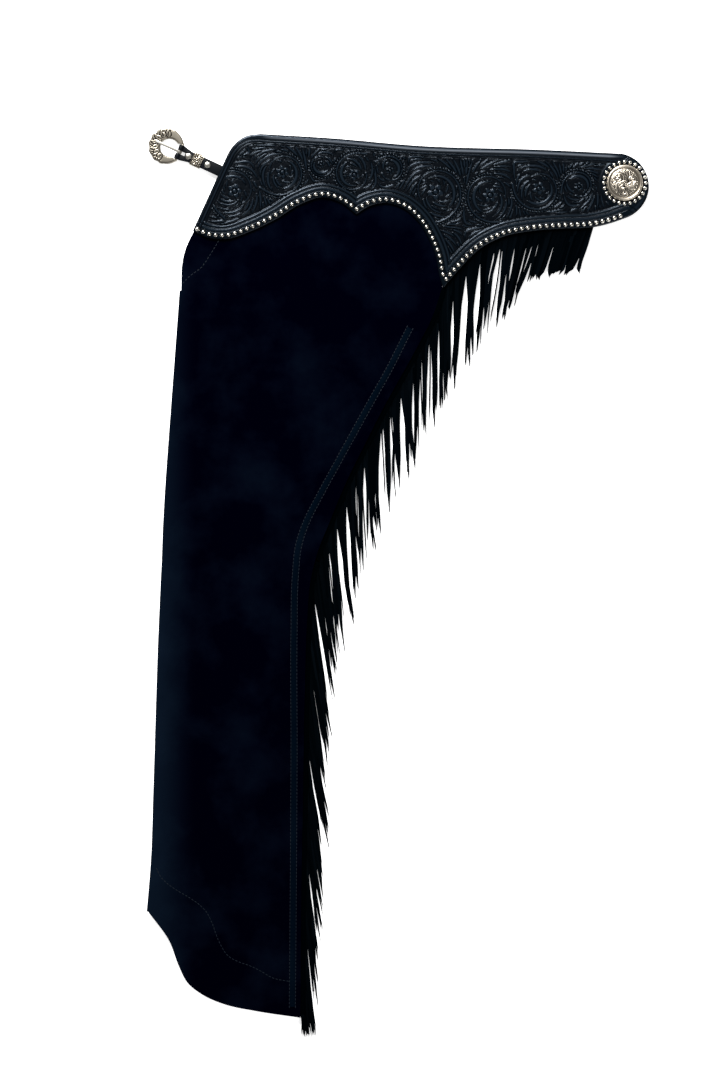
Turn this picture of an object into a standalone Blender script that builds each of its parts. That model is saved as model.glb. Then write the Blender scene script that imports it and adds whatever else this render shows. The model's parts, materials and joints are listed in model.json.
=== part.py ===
"""Fringed western show chaps in black suede, folded in half and laid flat on a surface.

The near leg lies on the far one, outer side up, front fold to -X and back edge to +X. +Y points to
the waist and +Z up off the surface. The origin is the middle of the whole part's footprint, on the
surface. All sizes are in metres.

From the surface up the layers are the far yoke, the far leg (its outer and inner layers), the near
leg (inner and outer) and the near yoke with its studs and concho. A leg is one suede panel turned
round its front fold. The front strap, with its buckle, comes out from between the two yokes.
"""

import math

import bmesh
import bpy
import numpy as np
from mathutils import Matrix, Vector

PART_NAME = "fringed_show_chaps"
CUTTERS_NAME = "chaps_cutters"

# Thicknesses of the leathers, and the gap that touching pieces keep
SUEDE = 0.0015
YOKE_LEATHER = 0.0030
FRINGE_LEATHER = 0.0012
STRAP_LEATHER = 0.0030
TOUCH_GAP = 0.0003
EDGE_GAP = 0.0007
LAYER_GAP = 0.00035

# Heights of the undersides of the layers, away from the yokes and between them
FAR_OUTER_Z = 0.0
FAR_INNER_Z = 0.0023
NEAR_INNER_Z = 0.00415
NEAR_OUTER_Z = 0.00645
FAR_OUTER_YOKE_Z = YOKE_LEATHER + TOUCH_GAP
NEAR_OUTER_YOKE_Z = FAR_OUTER_YOKE_Z + SUEDE + LAYER_GAP
NEAR_YOKE_Z = NEAR_OUTER_YOKE_Z + SUEDE + LAYER_GAP
YOKE_RAMP_START = 0.022
YOKE_RAMP_END = 0.060
FAR_LEG_INSET = 0.0012

# Outline of the yoke, in runs that meet at its corners: x, y
YOKE_LOWER_FRONT = [
    (-0.239, 0.4095), (-0.221, 0.4015), (-0.200, 0.4000), (-0.171, 0.4092), (-0.142, 0.4232),
    (-0.113, 0.4407), (-0.087, 0.4487), (-0.066, 0.4427), (-0.048, 0.4290),
]
YOKE_LOWER_MIDDLE = [
    (-0.048, 0.4290), (-0.032, 0.4387), (-0.014, 0.4422), (0.008, 0.4355), (0.0245, 0.4210),
    (0.037, 0.4005), (0.0452, 0.3800), (0.0494, 0.3580), (0.054, 0.3425),
]
YOKE_LOWER_BACK = [
    (0.054, 0.3425), (0.0772, 0.3695), (0.098, 0.3893), (0.1255, 0.4032), (0.156, 0.4092),
    (0.193, 0.4122), (0.226, 0.4138), (0.248, 0.4185), (0.2692, 0.4258),
]
YOKE_BACK_CENTRE = (0.256, 0.462)
YOKE_BACK_RADIUS = 0.0385
YOKE_BACK_ARC_DEG = (-70.0, 80.0)
YOKE_TOP = [
    (0.2627, 0.4999), (0.167, 0.5045), (0.027, 0.5090), (-0.078, 0.5180), (-0.160, 0.5230),
]
YOKE_FRONT_CORNER = [
    (-0.160, 0.5230), (-0.176, 0.5205), (-0.188, 0.5130), (-0.196, 0.5030), (-0.201, 0.4930),
]
LOWER_EDGE_SPACING = 0.0095
UPPER_EDGE_SPACING = 0.030
CORNER_SPACING = 0.009

# Outline of a leg lying flat: the front fold, the hem and the back edge, each from the top down
FRONT_FOLD = [
    (-0.2545, 0.340), (-0.257, 0.305), (-0.264, 0.212), (-0.273, 0.083), (-0.277, -0.011),
    (-0.281, -0.116), (-0.285, -0.245), (-0.288, -0.330), (-0.293, -0.387),
]
HEM = [
    (-0.293, -0.387), (-0.268, -0.422), (-0.257, -0.450), (-0.246, -0.470), (-0.228, -0.484),
    (-0.201, -0.4955), (-0.166, -0.503), (-0.113, -0.511),
]
BACK_EDGE = [
    (0.053, 0.344), (0.041, 0.308), (0.027, 0.280), (0.009, 0.247), (-0.014, 0.206),
    (-0.037, 0.161), (-0.061, 0.112), (-0.078, 0.071), (-0.092, 0.036), (-0.101, 0.001),
    (-0.105, -0.046), (-0.108, -0.139), (-0.110, -0.256), (-0.112, -0.373), (-0.113, -0.511),
]
# Top of the outer layer: up the free front edge, under the yoke, and down to the back edge
OUTER_TOP = [
    (-0.2545, 0.340), (-0.253, 0.374), (-0.250, 0.387), (-0.2405, 0.407), (-0.228, 0.426),
    (-0.205, 0.434), (-0.150, 0.450), (-0.095, 0.476), (-0.050, 0.468), (-0.010, 0.468),
    (0.030, 0.445), (0.046, 0.405), (0.050, 0.372), (0.053, 0.344),
]
# Top of the inner layer: the crotch line, from the fold to the back edge
INNER_TOP = [(-0.2545, 0.340), (-0.200, 0.322), (-0.120, 0.296), (-0.050, 0.270), (0.010, 0.250)]
LEG_ROWS = 24
OUTER_COLUMNS = 12
INNER_COLUMNS = 4
TURN_STEPS = 3

# Soft folds of the near leg's outer layer: upper end x, y, lower end x, y, height, half width
SOFT_FOLDS = [
    (-0.120, 0.330, -0.150, 0.080, 0.0014, 0.045),
    (-0.145, 0.070, -0.165, -0.190, 0.0022, 0.042),
    (-0.225, 0.300, -0.250, -0.060, 0.0012, 0.030),
    (-0.205, -0.260, -0.190, -0.440, 0.0016, 0.050),
    (-0.030, 0.290, -0.085, 0.130, 0.0010, 0.035),
]
FOLD_END_FADE = 0.060

# Round-headed studs along the yoke's lower edge, and the smaller spots round the concho
STUD_RADIUS = 0.0028
STUD_HEIGHT = 0.0020
STUD_PITCH = 0.0074
STUD_INSET = 0.0042
SPOT_RADIUS = 0.0024
SPOT_HEIGHT = 0.0018
SPOT_COUNT = 24
SPOT_RING_RADIUS = 0.0244
STUD_SIDES = 6
CORNER_CLEARANCE = 0.985

# Concho: profile radius, height above its back
CONCHO_CENTRE = (0.266, 0.4655)
CONCHO_PROFILE = [
    (0.0, 0.0030), (0.0080, 0.0028), (0.0150, 0.0020), (0.0165, 0.0016), (0.0185, 0.0031),
    (0.0205, 0.0027), (0.0214, 0.0010), (0.0214, 0.0), (0.0, 0.0),
]
CONCHO_STEPS = 32

# Fringe: root stations with the strands' lean from straight down (to +X) and their length
LEG_FRINGE = [
    # y of the root, lean in degrees, length
    (0.344, 0.0, 0.138), (0.280, 1.0, 0.125), (0.206, 1.0, 0.122), (0.112, 3.0, 0.135),
    (0.060, 7.0, 0.142), (0.032, 8.1, 0.144), (0.001, 8.6, 0.145), (-0.080, 9.3, 0.138),
    (-0.256, 8.0, 0.130), (-0.373, 6.5, 0.130), (-0.511, 5.0, 0.120),
]
SEAT_FRINGE = [
    # x of the root, lean in degrees, length
    (0.228, -19.0, 0.055), (0.193, -16.0, 0.060), (0.156, -12.5, 0.095), (0.125, -8.0, 0.118),
    (0.097, -5.0, 0.125), (0.076, -1.5, 0.136), (0.060, 0.0, 0.140),
]
THIGH_FRINGE_SPAN = (0.334, 0.022)
CALF_FRINGE_SPAN = (0.024, -0.507)
SEAT_FRINGE_SPAN = (0.2282, 0.0565)
LOWEST_TIP_Y = -0.531
STRAND_WIDTH = 0.0044
STRAND_SPACE = 0.0012
CALF_STRAND_WIDTH = 0.0029
CALF_STRAND_SPACE = 0.0008
STRAND_TAPER = 0.82
STRAND_DROP = 0.014
STRAND_SWAY = 0.0010
SWAY_LENGTH = 0.090
SHORTEST_STRAND = 0.020
FAR_FRINGE_SHORTER = 0.006
BACKING_WIDTH = 0.0045
SEAT_BACKING_INSIDE = 0.005
SEAT_BACKING_OUTSIDE = 0.0015
TIP_SKEW = 0.0016

# Undersides of the fringe at its backing and where it lies, near and far leg
NEAR_BACKING_Z = 0.0053
FAR_BACKING_Z = 0.0013
NEAR_SEAT_BACKING_Z = 0.0055
FAR_SEAT_BACKING_Z = 0.0033
NEAR_STRAND_Z = 0.0028
FAR_STRAND_Z = 0.0005

# Front strap and buckle, along the strap from the buckle's bar
BAR_CENTRE = (-0.2551, 0.5025)
BAR_Z = 0.0033
STRAP_ANGLE_DEG = -25.0
BAR_RADIUS = 0.0014
LOOP_INNER_RADIUS = 0.00175
LOOP_OUTER_RADIUS = 0.00325
STRAP_HALF_WIDTH = 0.0065
STRAP_LOOP_HALF_WIDTH = 0.0087
STRAP_FLARE_END = 0.014
STRAP_FLARE_MIDDLE = 0.0091
STRAP_SLOT_HALF_WIDTH = 0.0020
# The slot runs on past the loop, so that the tongue swings back until the front screw stops it
STRAP_SLOT_END = 0.0075
# Half the angle at the bar where the loop opens into the strap
LOOP_MOUTH_DEG = 28.0
# How far a cutter reaches past what it cuts
CUT_REACH = 0.010
# Middle of the strap's thickness: distance from the bar, height
STRAP_COURSE = [(0.004, 0.0033), (0.020, 0.0039), (0.040, 0.0049), (0.052, 0.0050), (0.066, 0.0050)]

FRAME_CENTRE = -0.0165
FRAME_RADIUS = 0.0205
FRAME_THICKNESS = 0.0036
FRAME_SCALLOP = 0.055
FRAME_SCALLOPS = 13
FRAME_TILT_DEG = 2.0
FRAME_POINTS = 52
# The frame is scalloped away from the strap and plain beside it, between these cosines of its angle
ORNATE_FROM = -0.6
ORNATE_FULL = 0.2
EYE_CENTRE = -0.0125
EYE_HALF_LENGTH = 0.0112
EYE_HALF_WIDTH = 0.0104
EAR_NOTCH = (-0.0040, 0.0060, 0.0093)
BAR_HALF_LENGTH = 0.0115
TONGUE_HALF_WIDTH = 0.0015
TONGUE_RING_INNER = 0.0017
TONGUE_RING_OUTER = 0.0031
TONGUE_TIP = -0.0306
TONGUE_SHOULDER = -0.0226
TONGUE_SEAT = 0.0021
TONGUE_THICKNESS = 0.0017
TONGUE_RING_ARC_DEG = (90.0, -205.0)
# Chamfers of the tongue's tip, each with its distance along the tongue and its height
TONGUE_TIP_BELOW = (0.0012, 0.0006)
TONGUE_TIP_ABOVE = (0.0008, 0.0003)

SCREW_STATIONS = {"strap_screw_front": 0.0121, "strap_screw_back": 0.0367}
SCREW_RADIUS = 0.0037
SCREW_HEIGHT = 0.0015
# Screw head, from its middle out: share of the radius, share of the height
SCREW_PROFILE = [(0.0, 1.0), (0.55, 0.93), (0.88, 0.66), (1.0, 0.25), (1.0, 0.0), (0.0, 0.0)]
SCREW_STEPS = 16
KEEPER_STATION = 0.0230
KEEPER_LENGTH = 0.0130
KEEPER_WALL = 0.0013
KEEPER_SLACK = 0.00035

# Hidden pieces between the yokes
BILLET_CENTRE = (-0.105, 0.501)
BILLET_SIZE = (0.150, 0.0130, 0.0026)
BILLET_ANGLE_DEG = -2.5
BACK_TIE_CENTRE = (0.262, 0.462)
BACK_TIE_SIZE = (0.024, 0.030, 0.0033)


def hex_colour(code):
    """Linear RGBA of an sRGB hex colour."""
    channels = [int(code[i:i + 2], 16) / 255 for i in (1, 3, 5)]
    linear = [c / 12.92 if c <= 0.04045 else ((c + 0.055) / 1.055) ** 2.4 for c in channels]
    return (*linear, 1.0)


def make_material(name, colour, roughness, metallic=0.0):
    """A Principled material of one colour."""
    material = bpy.data.materials.new(name)
    material.use_nodes = True
    shader = material.node_tree.nodes["Principled BSDF"]
    shader.inputs["Base Color"].default_value = hex_colour(colour)
    shader.inputs["Roughness"].default_value = roughness
    shader.inputs["Metallic"].default_value = metallic
    material.diffuse_color = hex_colour(colour)
    return material


def clear_scene():
    """Remove every object that the scene starts with."""
    for obj in list(bpy.data.objects):
        bpy.data.objects.remove(obj, do_unlink=True)


def new_collection(name):
    """A collection linked to the scene."""
    collection = bpy.data.collections.new(name)
    bpy.context.scene.collection.children.link(collection)
    return collection


def new_object(name, mesh, material, location=(0.0, 0.0, 0.0)):
    """An object of the part, with its material, at a location."""
    obj = bpy.data.objects.new(name, mesh)
    obj.location = location
    bpy.data.collections[PART_NAME].objects.link(obj)
    mesh.materials.clear()
    mesh.materials.append(material)
    return obj


def new_cutter(name, mesh):
    """A wire-drawn helper object that the part doesn't show."""
    obj = bpy.data.objects.new(name, mesh)
    obj.display_type = "WIRE"
    obj.hide_render = True
    bpy.data.collections[CUTTERS_NAME].objects.link(obj)
    return obj


def add_boolean(obj, operand, operation):
    """Cut or join an object with a helper object."""
    modifier = obj.modifiers.new(operation.lower(), "BOOLEAN")
    modifier.operation = operation
    modifier.object = operand
    modifier.solver = "EXACT"


def mesh_of(name, vertices, faces):
    """A closed mesh with its faces pointing out."""
    mesh = bpy.data.meshes.new(name)
    mesh.from_pydata([tuple(map(float, v)) for v in vertices], [], faces)
    bm = bmesh.new()
    bm.from_mesh(mesh)
    bmesh.ops.recalc_face_normals(bm, faces=bm.faces)
    bm.to_mesh(mesh)
    bm.free()
    return mesh


def extruded(name, outline, half_thickness, holes=()):
    """A mesh of a flat outline, with holes, extruded to both sides of its plane."""
    curve = bpy.data.curves.new(name, "CURVE")
    curve.dimensions = "2D"
    curve.fill_mode = "BOTH"
    curve.extrude = half_thickness
    for loop in (outline, *holes):
        spline = curve.splines.new("POLY")
        spline.points.add(len(loop) - 1)
        for point, (x, y) in zip(spline.points, loop):
            point.co = (x, y, 0.0, 1.0)
        spline.use_cyclic_u = True
    obj = bpy.data.objects.new(name, curve)
    bpy.context.scene.collection.objects.link(obj)
    graph = bpy.context.evaluated_depsgraph_get()
    mesh = bpy.data.meshes.new_from_object(obj.evaluated_get(graph))
    bpy.data.objects.remove(obj, do_unlink=True)
    bm = bmesh.new()
    bm.from_mesh(mesh)
    bmesh.ops.remove_doubles(bm, verts=bm.verts, dist=0.00001)
    bm.to_mesh(mesh)
    bm.free()
    return mesh


def resample(path, count):
    """Evenly spaced points along a polyline."""
    path = np.asarray(path, float)
    steps = np.linalg.norm(np.diff(path, axis=0), axis=1)
    lengths = np.concatenate([[0.0], np.cumsum(steps)])
    stations = np.linspace(0.0, lengths[-1], count)
    return np.column_stack([np.interp(stations, lengths, column) for column in path.T])


def path_length(path):
    """Length of a polyline."""
    return float(np.linalg.norm(np.diff(path, axis=0), axis=1).sum())


def smooth_curve(points, steps=14):
    """A curve through points whose tangents follow their neighbours' spacing."""
    points = np.asarray(points, float)
    knots = np.concatenate([[0.0], np.cumsum(np.linalg.norm(np.diff(points, axis=0), axis=1))])
    tangents = np.gradient(points, knots, axis=0)
    tangents[0] = (points[1] - points[0]) / (knots[1] - knots[0])
    tangents[-1] = (points[-1] - points[-2]) / (knots[-1] - knots[-2])
    curve = []
    for i in range(len(points) - 1):
        span = knots[i + 1] - knots[i]
        for t in np.linspace(0.0, 1.0, steps, endpoint=False):
            curve.append(
                (2 * t**3 - 3 * t**2 + 1) * points[i] + (t**3 - 2 * t**2 + t) * span * tangents[i]
                + (3 * t**2 - 2 * t**3) * points[i + 1] + (t**3 - t**2) * span * tangents[i + 1]
            )
    curve.append(points[-1])
    return np.array(curve)


def smooth_step(value, low, high):
    """0 below low, 1 above high, and a soft ramp between them."""
    t = np.clip((value - low) / (high - low), 0.0, 1.0)
    return t * t * (3.0 - 2.0 * t)


def distance_to_path(points, path):
    """Shortest distance from each point to a polyline."""
    starts, ends = path[:-1], path[1:]
    spans = ends - starts
    offsets = points[:, None, :] - starts[None, :, :]
    along = np.clip((offsets * spans).sum(-1) / (spans * spans).sum(-1), 0.0, 1.0)
    nearest = starts + along[..., None] * spans
    return np.linalg.norm(points[:, None, :] - nearest, axis=-1).min(axis=1)


def inside(points, outline):
    """Whether each point lies inside a closed outline."""
    x, y = points[:, 0, None], points[:, 1, None]
    x1, y1 = outline[:, 0], outline[:, 1]
    x2, y2 = np.roll(x1, -1), np.roll(y1, -1)
    crosses = (y1 > y) != (y2 > y)
    rise = np.where(y2 == y1, 1.0, y2 - y1)
    hits = crosses & (x < (x2 - x1) * (y - y1) / rise + x1)
    return hits.sum(axis=1) % 2 == 1


def yoke_outline():
    """The yoke's closed outline, with a point for every few millimetres of its curved edges."""
    runs = [(YOKE_LOWER_FRONT, LOWER_EDGE_SPACING), (YOKE_LOWER_MIDDLE, LOWER_EDGE_SPACING),
            (YOKE_LOWER_BACK, LOWER_EDGE_SPACING)]
    start, end = (math.radians(angle) for angle in YOKE_BACK_ARC_DEG)
    back = [(YOKE_BACK_CENTRE[0] + YOKE_BACK_RADIUS * math.cos(a),
             YOKE_BACK_CENTRE[1] + YOKE_BACK_RADIUS * math.sin(a)) for a in np.linspace(start, end, 7)]
    runs += [(back, CORNER_SPACING), (YOKE_TOP, UPPER_EDGE_SPACING), (YOKE_FRONT_CORNER, CORNER_SPACING)]
    outline = []
    for points, spacing in runs:
        curve = smooth_curve(points)
        count = max(2, round(path_length(curve) / spacing)) + 1
        outline.extend(resample(curve, count)[:-1])
    outline.append(np.array(YOKE_FRONT_CORNER[-1]))
    return np.array(outline)


def left_normals(path):
    """Unit normals to the left of a polyline's direction."""
    tangents = np.gradient(path, axis=0)
    tangents /= np.linalg.norm(tangents, axis=1, keepdims=True)
    return np.column_stack([-tangents[:, 1], tangents[:, 0]])


def stud_places():
    """Centres of the studs: a pitch apart along each run of the lower edge, inset from it and the front."""
    runs = [smooth_curve(run) for run in (YOKE_LOWER_FRONT, YOKE_LOWER_MIDDLE, YOKE_LOWER_BACK)]
    edge = np.vstack([YOKE_FRONT_CORNER[-1:], runs[0], runs[1][1:], runs[2][1:]])
    places = []
    for run in runs:
        line = run + STUD_INSET * left_normals(run)
        line = line[distance_to_path(line, edge) > STUD_INSET * CORNER_CLEARANCE]
        count = round(path_length(line) / STUD_PITCH)
        places.extend(resample(line, count + 1)[:-1])
    return places


def spot_places():
    """Centres of the spots that ring the concho."""
    turns = np.linspace(0.0, 2.0 * math.pi, SPOT_COUNT, endpoint=False)
    return [(CONCHO_CENTRE[0] + SPOT_RING_RADIUS * math.cos(a),
             CONCHO_CENTRE[1] + SPOT_RING_RADIUS * math.sin(a)) for a in turns]


def dome_mesh(name, domes, base_z):
    """Separate round domes on one level: each has a centre, a radius and a height."""
    bm = bmesh.new()
    for (x, y), radius, height in domes:
        place = Matrix.Translation((x, y, base_z)) @ Matrix.Diagonal((radius, radius, height, 1.0))
        bmesh.ops.create_uvsphere(bm, u_segments=STUD_SIDES, v_segments=4, radius=1.0, matrix=place)
    mesh = bpy.data.meshes.new(name)
    bm.to_mesh(mesh)
    bm.free()
    return mesh


def build_yokes(leather):
    """The near yoke with its raised studs and spots, and the far one, which is plain where it lies."""
    outline = yoke_outline()
    half = YOKE_LEATHER / 2
    near = new_object("yoke_near", extruded("yoke_near", outline, half), leather,
                      (0.0, 0.0, NEAR_YOKE_Z + half))
    domes = [(place, STUD_RADIUS, STUD_HEIGHT) for place in stud_places()]
    domes += [(place, SPOT_RADIUS, SPOT_HEIGHT) for place in spot_places()]
    studs = new_cutter("yoke_studs", dome_mesh("yoke_studs", domes, NEAR_YOKE_Z + YOKE_LEATHER))
    add_boolean(near, studs, "UNION")
    new_object("yoke_far", extruded("yoke_far", outline, half), leather, (0.0, 0.0, half))


def coons_patch(top, bottom, left, right, rows, columns):
    """A grid of rows by columns points that fills four boundary curves."""
    top, bottom = resample(top, columns), resample(bottom, columns)
    left, right = resample(left, rows), resample(right, rows)
    u = np.linspace(0.0, 1.0, columns)[None, :, None]
    v = np.linspace(0.0, 1.0, rows)[:, None, None]
    ruled = (1 - v) * top[None] + v * bottom[None] + (1 - u) * left[:, None] + u * right[:, None]
    corners = ((1 - v) * ((1 - u) * top[0] + u * top[-1]) + v * ((1 - u) * bottom[0] + u * bottom[-1]))
    return ruled - corners


def soft_fold_height(points):
    """Height that the soft folds add to the near leg's outer layer."""
    height = np.zeros(len(points))
    for x1, y1, x2, y2, rise, half_width in SOFT_FOLDS:
        start, span = np.array([x1, y1]), np.array([x2 - x1, y2 - y1])
        along = ((points - start) @ span) / (span @ span)
        length = np.linalg.norm(span)
        beyond = np.maximum(np.maximum(-along, along - 1.0) * length, 0.0)
        across = ((points[:, 0] - x1) * span[1] - (points[:, 1] - y1) * span[0]) / length
        height += rise * np.exp(-(across / half_width) ** 2) * np.exp(-(beyond / FOLD_END_FADE) ** 2)
    return height


def clear_of_yoke(points, outline):
    """0 under the yoke and close to it, 1 well away, and a soft ramp between."""
    distance = distance_to_path(points, np.vstack([outline, outline[:1]]))
    distance[inside(points, outline)] = 0.0
    return smooth_step(distance, YOKE_RAMP_START, YOKE_RAMP_END)


def wall_between(name, outer_face, inner_face, material):
    """A closed wall between two grids of points."""
    rows, columns = outer_face.shape[:2]
    vertices = np.concatenate([outer_face.reshape(-1, 3), inner_face.reshape(-1, 3)])
    half = rows * columns
    faces = []
    for r in range(rows - 1):
        for c in range(columns - 1):
            a, b = r * columns + c, r * columns + c + 1
            d, e = a + columns, b + columns
            faces.append((a, d, e, b))
            faces.append((a + half, b + half, e + half, d + half))
    border = [c for c in range(columns)]
    border += [r * columns + columns - 1 for r in range(1, rows)]
    border += [(rows - 1) * columns + c for c in range(columns - 2, -1, -1)]
    border += [r * columns for r in range(rows - 2, 0, -1)]
    for a, b in zip(border, border[1:] + border[:1]):
        faces.append((a, b, b + half, a + half))
    return new_object(name, mesh_of(name, vertices, faces), material)


def build_leg(name, near, suede):
    """One leg: a suede panel from the outer layer's back edge round the front fold to the inner's."""
    inset = 0.0 if near else FAR_LEG_INSET
    outer_z = (NEAR_OUTER_Z, NEAR_OUTER_YOKE_Z) if near else (FAR_OUTER_Z, FAR_OUTER_YOKE_Z)
    inner_base = NEAR_INNER_Z if near else FAR_INNER_Z
    side = 1.0 if near else -1.0
    turn_radius = (abs(outer_z[0] - inner_base) + SUEDE) / 2
    shift = np.array([inset + turn_radius, 0.0])
    fold = smooth_curve(FRONT_FOLD) + shift
    back = smooth_curve(BACK_EDGE)
    hem, outer_top, inner_top = smooth_curve(HEM), smooth_curve(OUTER_TOP), smooth_curve(INNER_TOP)
    back_of_inner = back[back[:, 1] < INNER_TOP[-1][1]]
    back_of_inner = np.vstack([inner_top[-1:], back_of_inner])
    for curve in (hem, outer_top, inner_top):
        curve[0] = curve[0] + shift
    rows = LEG_ROWS + 1
    outer = coons_patch(outer_top, hem, fold, back, rows, OUTER_COLUMNS + 1)
    inner = coons_patch(inner_top, hem, fold, back_of_inner, rows, INNER_COLUMNS + 1)
    flat = outer.reshape(-1, 2)
    away, at_yoke = outer_z
    rise = away - at_yoke + (soft_fold_height(flat) if near else 0.0)
    base = (at_yoke + rise * clear_of_yoke(flat, yoke_outline())).reshape(outer.shape[:2])

    outside, hollow = [], []
    for r in range(rows):
        outer_faces = (base[r] + SUEDE, base[r]) if near else (base[r], base[r] + SUEDE)
        inner_faces = (inner_base, inner_base + SUEDE) if near else (inner_base + SUEDE, inner_base)
        middle = (outer_faces[0][0] + inner_faces[0]) / 2
        for section, z_outer, z_inner in ((outside, outer_faces[0], inner_faces[0]),
                                          (hollow, outer_faces[1], inner_faces[1])):
            radius = abs(z_outer[0] - middle)
            row = [(*outer[r, c], z_outer[c]) for c in range(OUTER_COLUMNS, -1, -1)]
            for step in range(1, TURN_STEPS):
                angle = math.pi / 2 - math.pi * step / TURN_STEPS
                x, y = outer[r, 0] * (1 - step / TURN_STEPS) + inner[r, 0] * step / TURN_STEPS
                row.append((x - radius * math.cos(angle), y, middle + side * radius * math.sin(angle)))
            row += [(*inner[r, c], z_inner) for c in range(INNER_COLUMNS + 1)]
            section.append(row)
    return wall_between(name, np.array(outside), np.array(hollow), suede)


def strand_rings(root_a, root_b, direction, length, skew, sway):
    """The rings of one strand below its root, each a point on either side."""
    across = np.array([direction[1], -direction[0]])
    width = (root_b - root_a) @ across
    level_a, level_b = root_a @ direction, root_b @ direction
    start = max(level_a, level_b) + STRAND_DROP
    tip = start - STRAND_DROP + length

    def ring(level, taper, tip_skew=0.0):
        wave = sway * math.sin(2.0 * math.pi * level / SWAY_LENGTH) * taper / (1.0 - STRAND_TAPER)
        inward = width * taper / 2
        a = root_a + direction * (level - level_a + tip_skew) + across * (wave + inward)
        b = root_b + direction * (level - level_b - tip_skew) + across * (wave - inward)
        return a, b

    rings = [ring(start, 0.0)]
    if sway > 0.0 and length > 4 * STRAND_DROP:
        rings.append(ring((start + tip) / 2, (1.0 - STRAND_TAPER) / 2))
    rings.append(ring(tip, 1.0 - STRAND_TAPER, skew))
    return rings


def fringe_strands(edge, plan, phase, shorten, sway):
    """Root points and rings of the strands along one stretch of an edge.

    The edge has the fringe on its left. The plan gives the backing's inner and outer distances from
    the edge, the axis that its table and its span are read on, and the strands' width and space.
    """
    normals = left_normals(edge)
    inner_line = edge + normals * plan["offsets"][0]
    outer_line = edge + normals * plan["offsets"][1]
    steps = np.linalg.norm(np.diff(outer_line, axis=0), axis=1)
    lengths = np.concatenate([[0.0], np.cumsum(steps)])
    axis, width, space = plan["axis"], plan["width"], plan["space"]
    table = np.array(sorted(plan["table"]))
    begin, end = np.interp(plan["span"], outer_line[::-1, axis], lengths[::-1])

    def at(line, station):
        return np.array([np.interp(station, lengths, column) for column in line.T])

    strands = []
    station = begin
    while True:
        here = at(outer_line, station)
        tangent = at(outer_line, station + width) - here
        tangent /= np.linalg.norm(tangent)
        lean = math.radians(np.interp(here[axis], table[:, 0], table[:, 1]))
        length = np.interp(here[axis], table[:, 0], table[:, 2]) - shorten
        direction = np.array([math.sin(lean), -math.cos(lean)])
        slant = abs(tangent[0] * direction[1] - tangent[1] * direction[0])
        if not strands and station == begin:
            station += phase * (width + space) / slant
        if station + width / slant > end:
            return strands
        root_a, root_b = at(outer_line, station), at(outer_line, station + width / slant)
        length = min(length, max(min(root_a[1], root_b[1]) - LOWEST_TIP_Y, SHORTEST_STRAND))
        skew = TIP_SKEW if len(strands) % 2 else -TIP_SKEW
        strands.append({
            "roots": ((root_a, at(inner_line, station)), (root_b, at(inner_line, station + width / slant))),
            "rings": strand_rings(root_a, root_b, direction, length, skew, sway),
        })
        station += (width + space) / slant


def fringe_mesh(name, strands, backing_z, strand_z):
    """One closed mesh: a narrow backing with every strand drawn out of its outer edge."""
    vertices, faces = [], []

    def add(points, low):
        first = len(vertices)
        for x, y in points:
            vertices.append((x, y, low))
            vertices.append((x, y, low + FRINGE_LEATHER))
        return list(range(first, len(vertices)))

    rims = [add((inner, outer), backing_z) for strand in strands for outer, inner in strand["roots"]]
    for i, (a, b) in enumerate(zip(rims, rims[1:])):
        faces += [(a[0], b[0], b[2], a[2]), (a[1], a[3], b[3], b[1]), (a[0], a[1], b[1], b[0])]
        if i % 2:
            faces.append((a[2], b[2], b[3], a[3]))
    faces += [(rim[0], rim[1], rim[3], rim[2]) for rim in (rims[0], rims[-1])]

    for number, strand in enumerate(strands):
        rim_a, rim_b = rims[2 * number], rims[2 * number + 1]
        ring = [rim_a[2], rim_a[3], rim_b[2], rim_b[3]]
        for sides in strand["rings"]:
            lower = add(sides, strand_z)
            faces += [(ring[0], ring[1], lower[1], lower[0]), (ring[1], ring[3], lower[3], lower[1]),
                      (ring[3], ring[2], lower[2], lower[3]), (ring[2], ring[0], lower[0], lower[2])]
            ring = lower
        faces.append((ring[0], ring[1], ring[3], ring[2]))
    return mesh_of(name, vertices, faces)


def build_fringes(leather):
    """Three fringes on each leg: under the yoke's back arm, down the thigh and down the calf."""
    back_edge = resample(smooth_curve(BACK_EDGE), LEG_ROWS + 1)
    arm_edge = smooth_curve(YOKE_LOWER_BACK)[::-1]
    on_leg = {"offsets": (EDGE_GAP, EDGE_GAP + BACKING_WIDTH), "table": LEG_FRINGE, "axis": 1}
    on_arm = {"offsets": (-SEAT_BACKING_INSIDE, SEAT_BACKING_OUTSIDE), "table": SEAT_FRINGE, "axis": 0}
    wide = {"width": STRAND_WIDTH, "space": STRAND_SPACE}
    narrow = {"width": CALF_STRAND_WIDTH, "space": CALF_STRAND_SPACE}
    regions = (
        ("seat", arm_edge, {**on_arm, **wide, "span": SEAT_FRINGE_SPAN}, NEAR_SEAT_BACKING_Z,
         FAR_SEAT_BACKING_Z, STRAND_SWAY),
        ("thigh", back_edge, {**on_leg, **wide, "span": THIGH_FRINGE_SPAN}, NEAR_BACKING_Z,
         FAR_BACKING_Z, STRAND_SWAY),
        ("calf", back_edge, {**on_leg, **narrow, "span": CALF_FRINGE_SPAN}, NEAR_BACKING_Z,
         FAR_BACKING_Z, 0.0),
    )
    for region, edge, plan, near_z, far_z, sway in regions:
        near = fringe_strands(edge, plan, 0.0, 0.0, sway)
        far = fringe_strands(edge, plan, 0.5, FAR_FRINGE_SHORTER, 0.0)
        for leg, strands, backing_z, strand_z in (("near", near, near_z, NEAR_STRAND_Z),
                                                  ("far", far, far_z, FAR_STRAND_Z)):
            name = f"fringe_{region}_{leg}"
            new_object(name, fringe_mesh(name, strands, backing_z, strand_z), leather)


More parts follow.
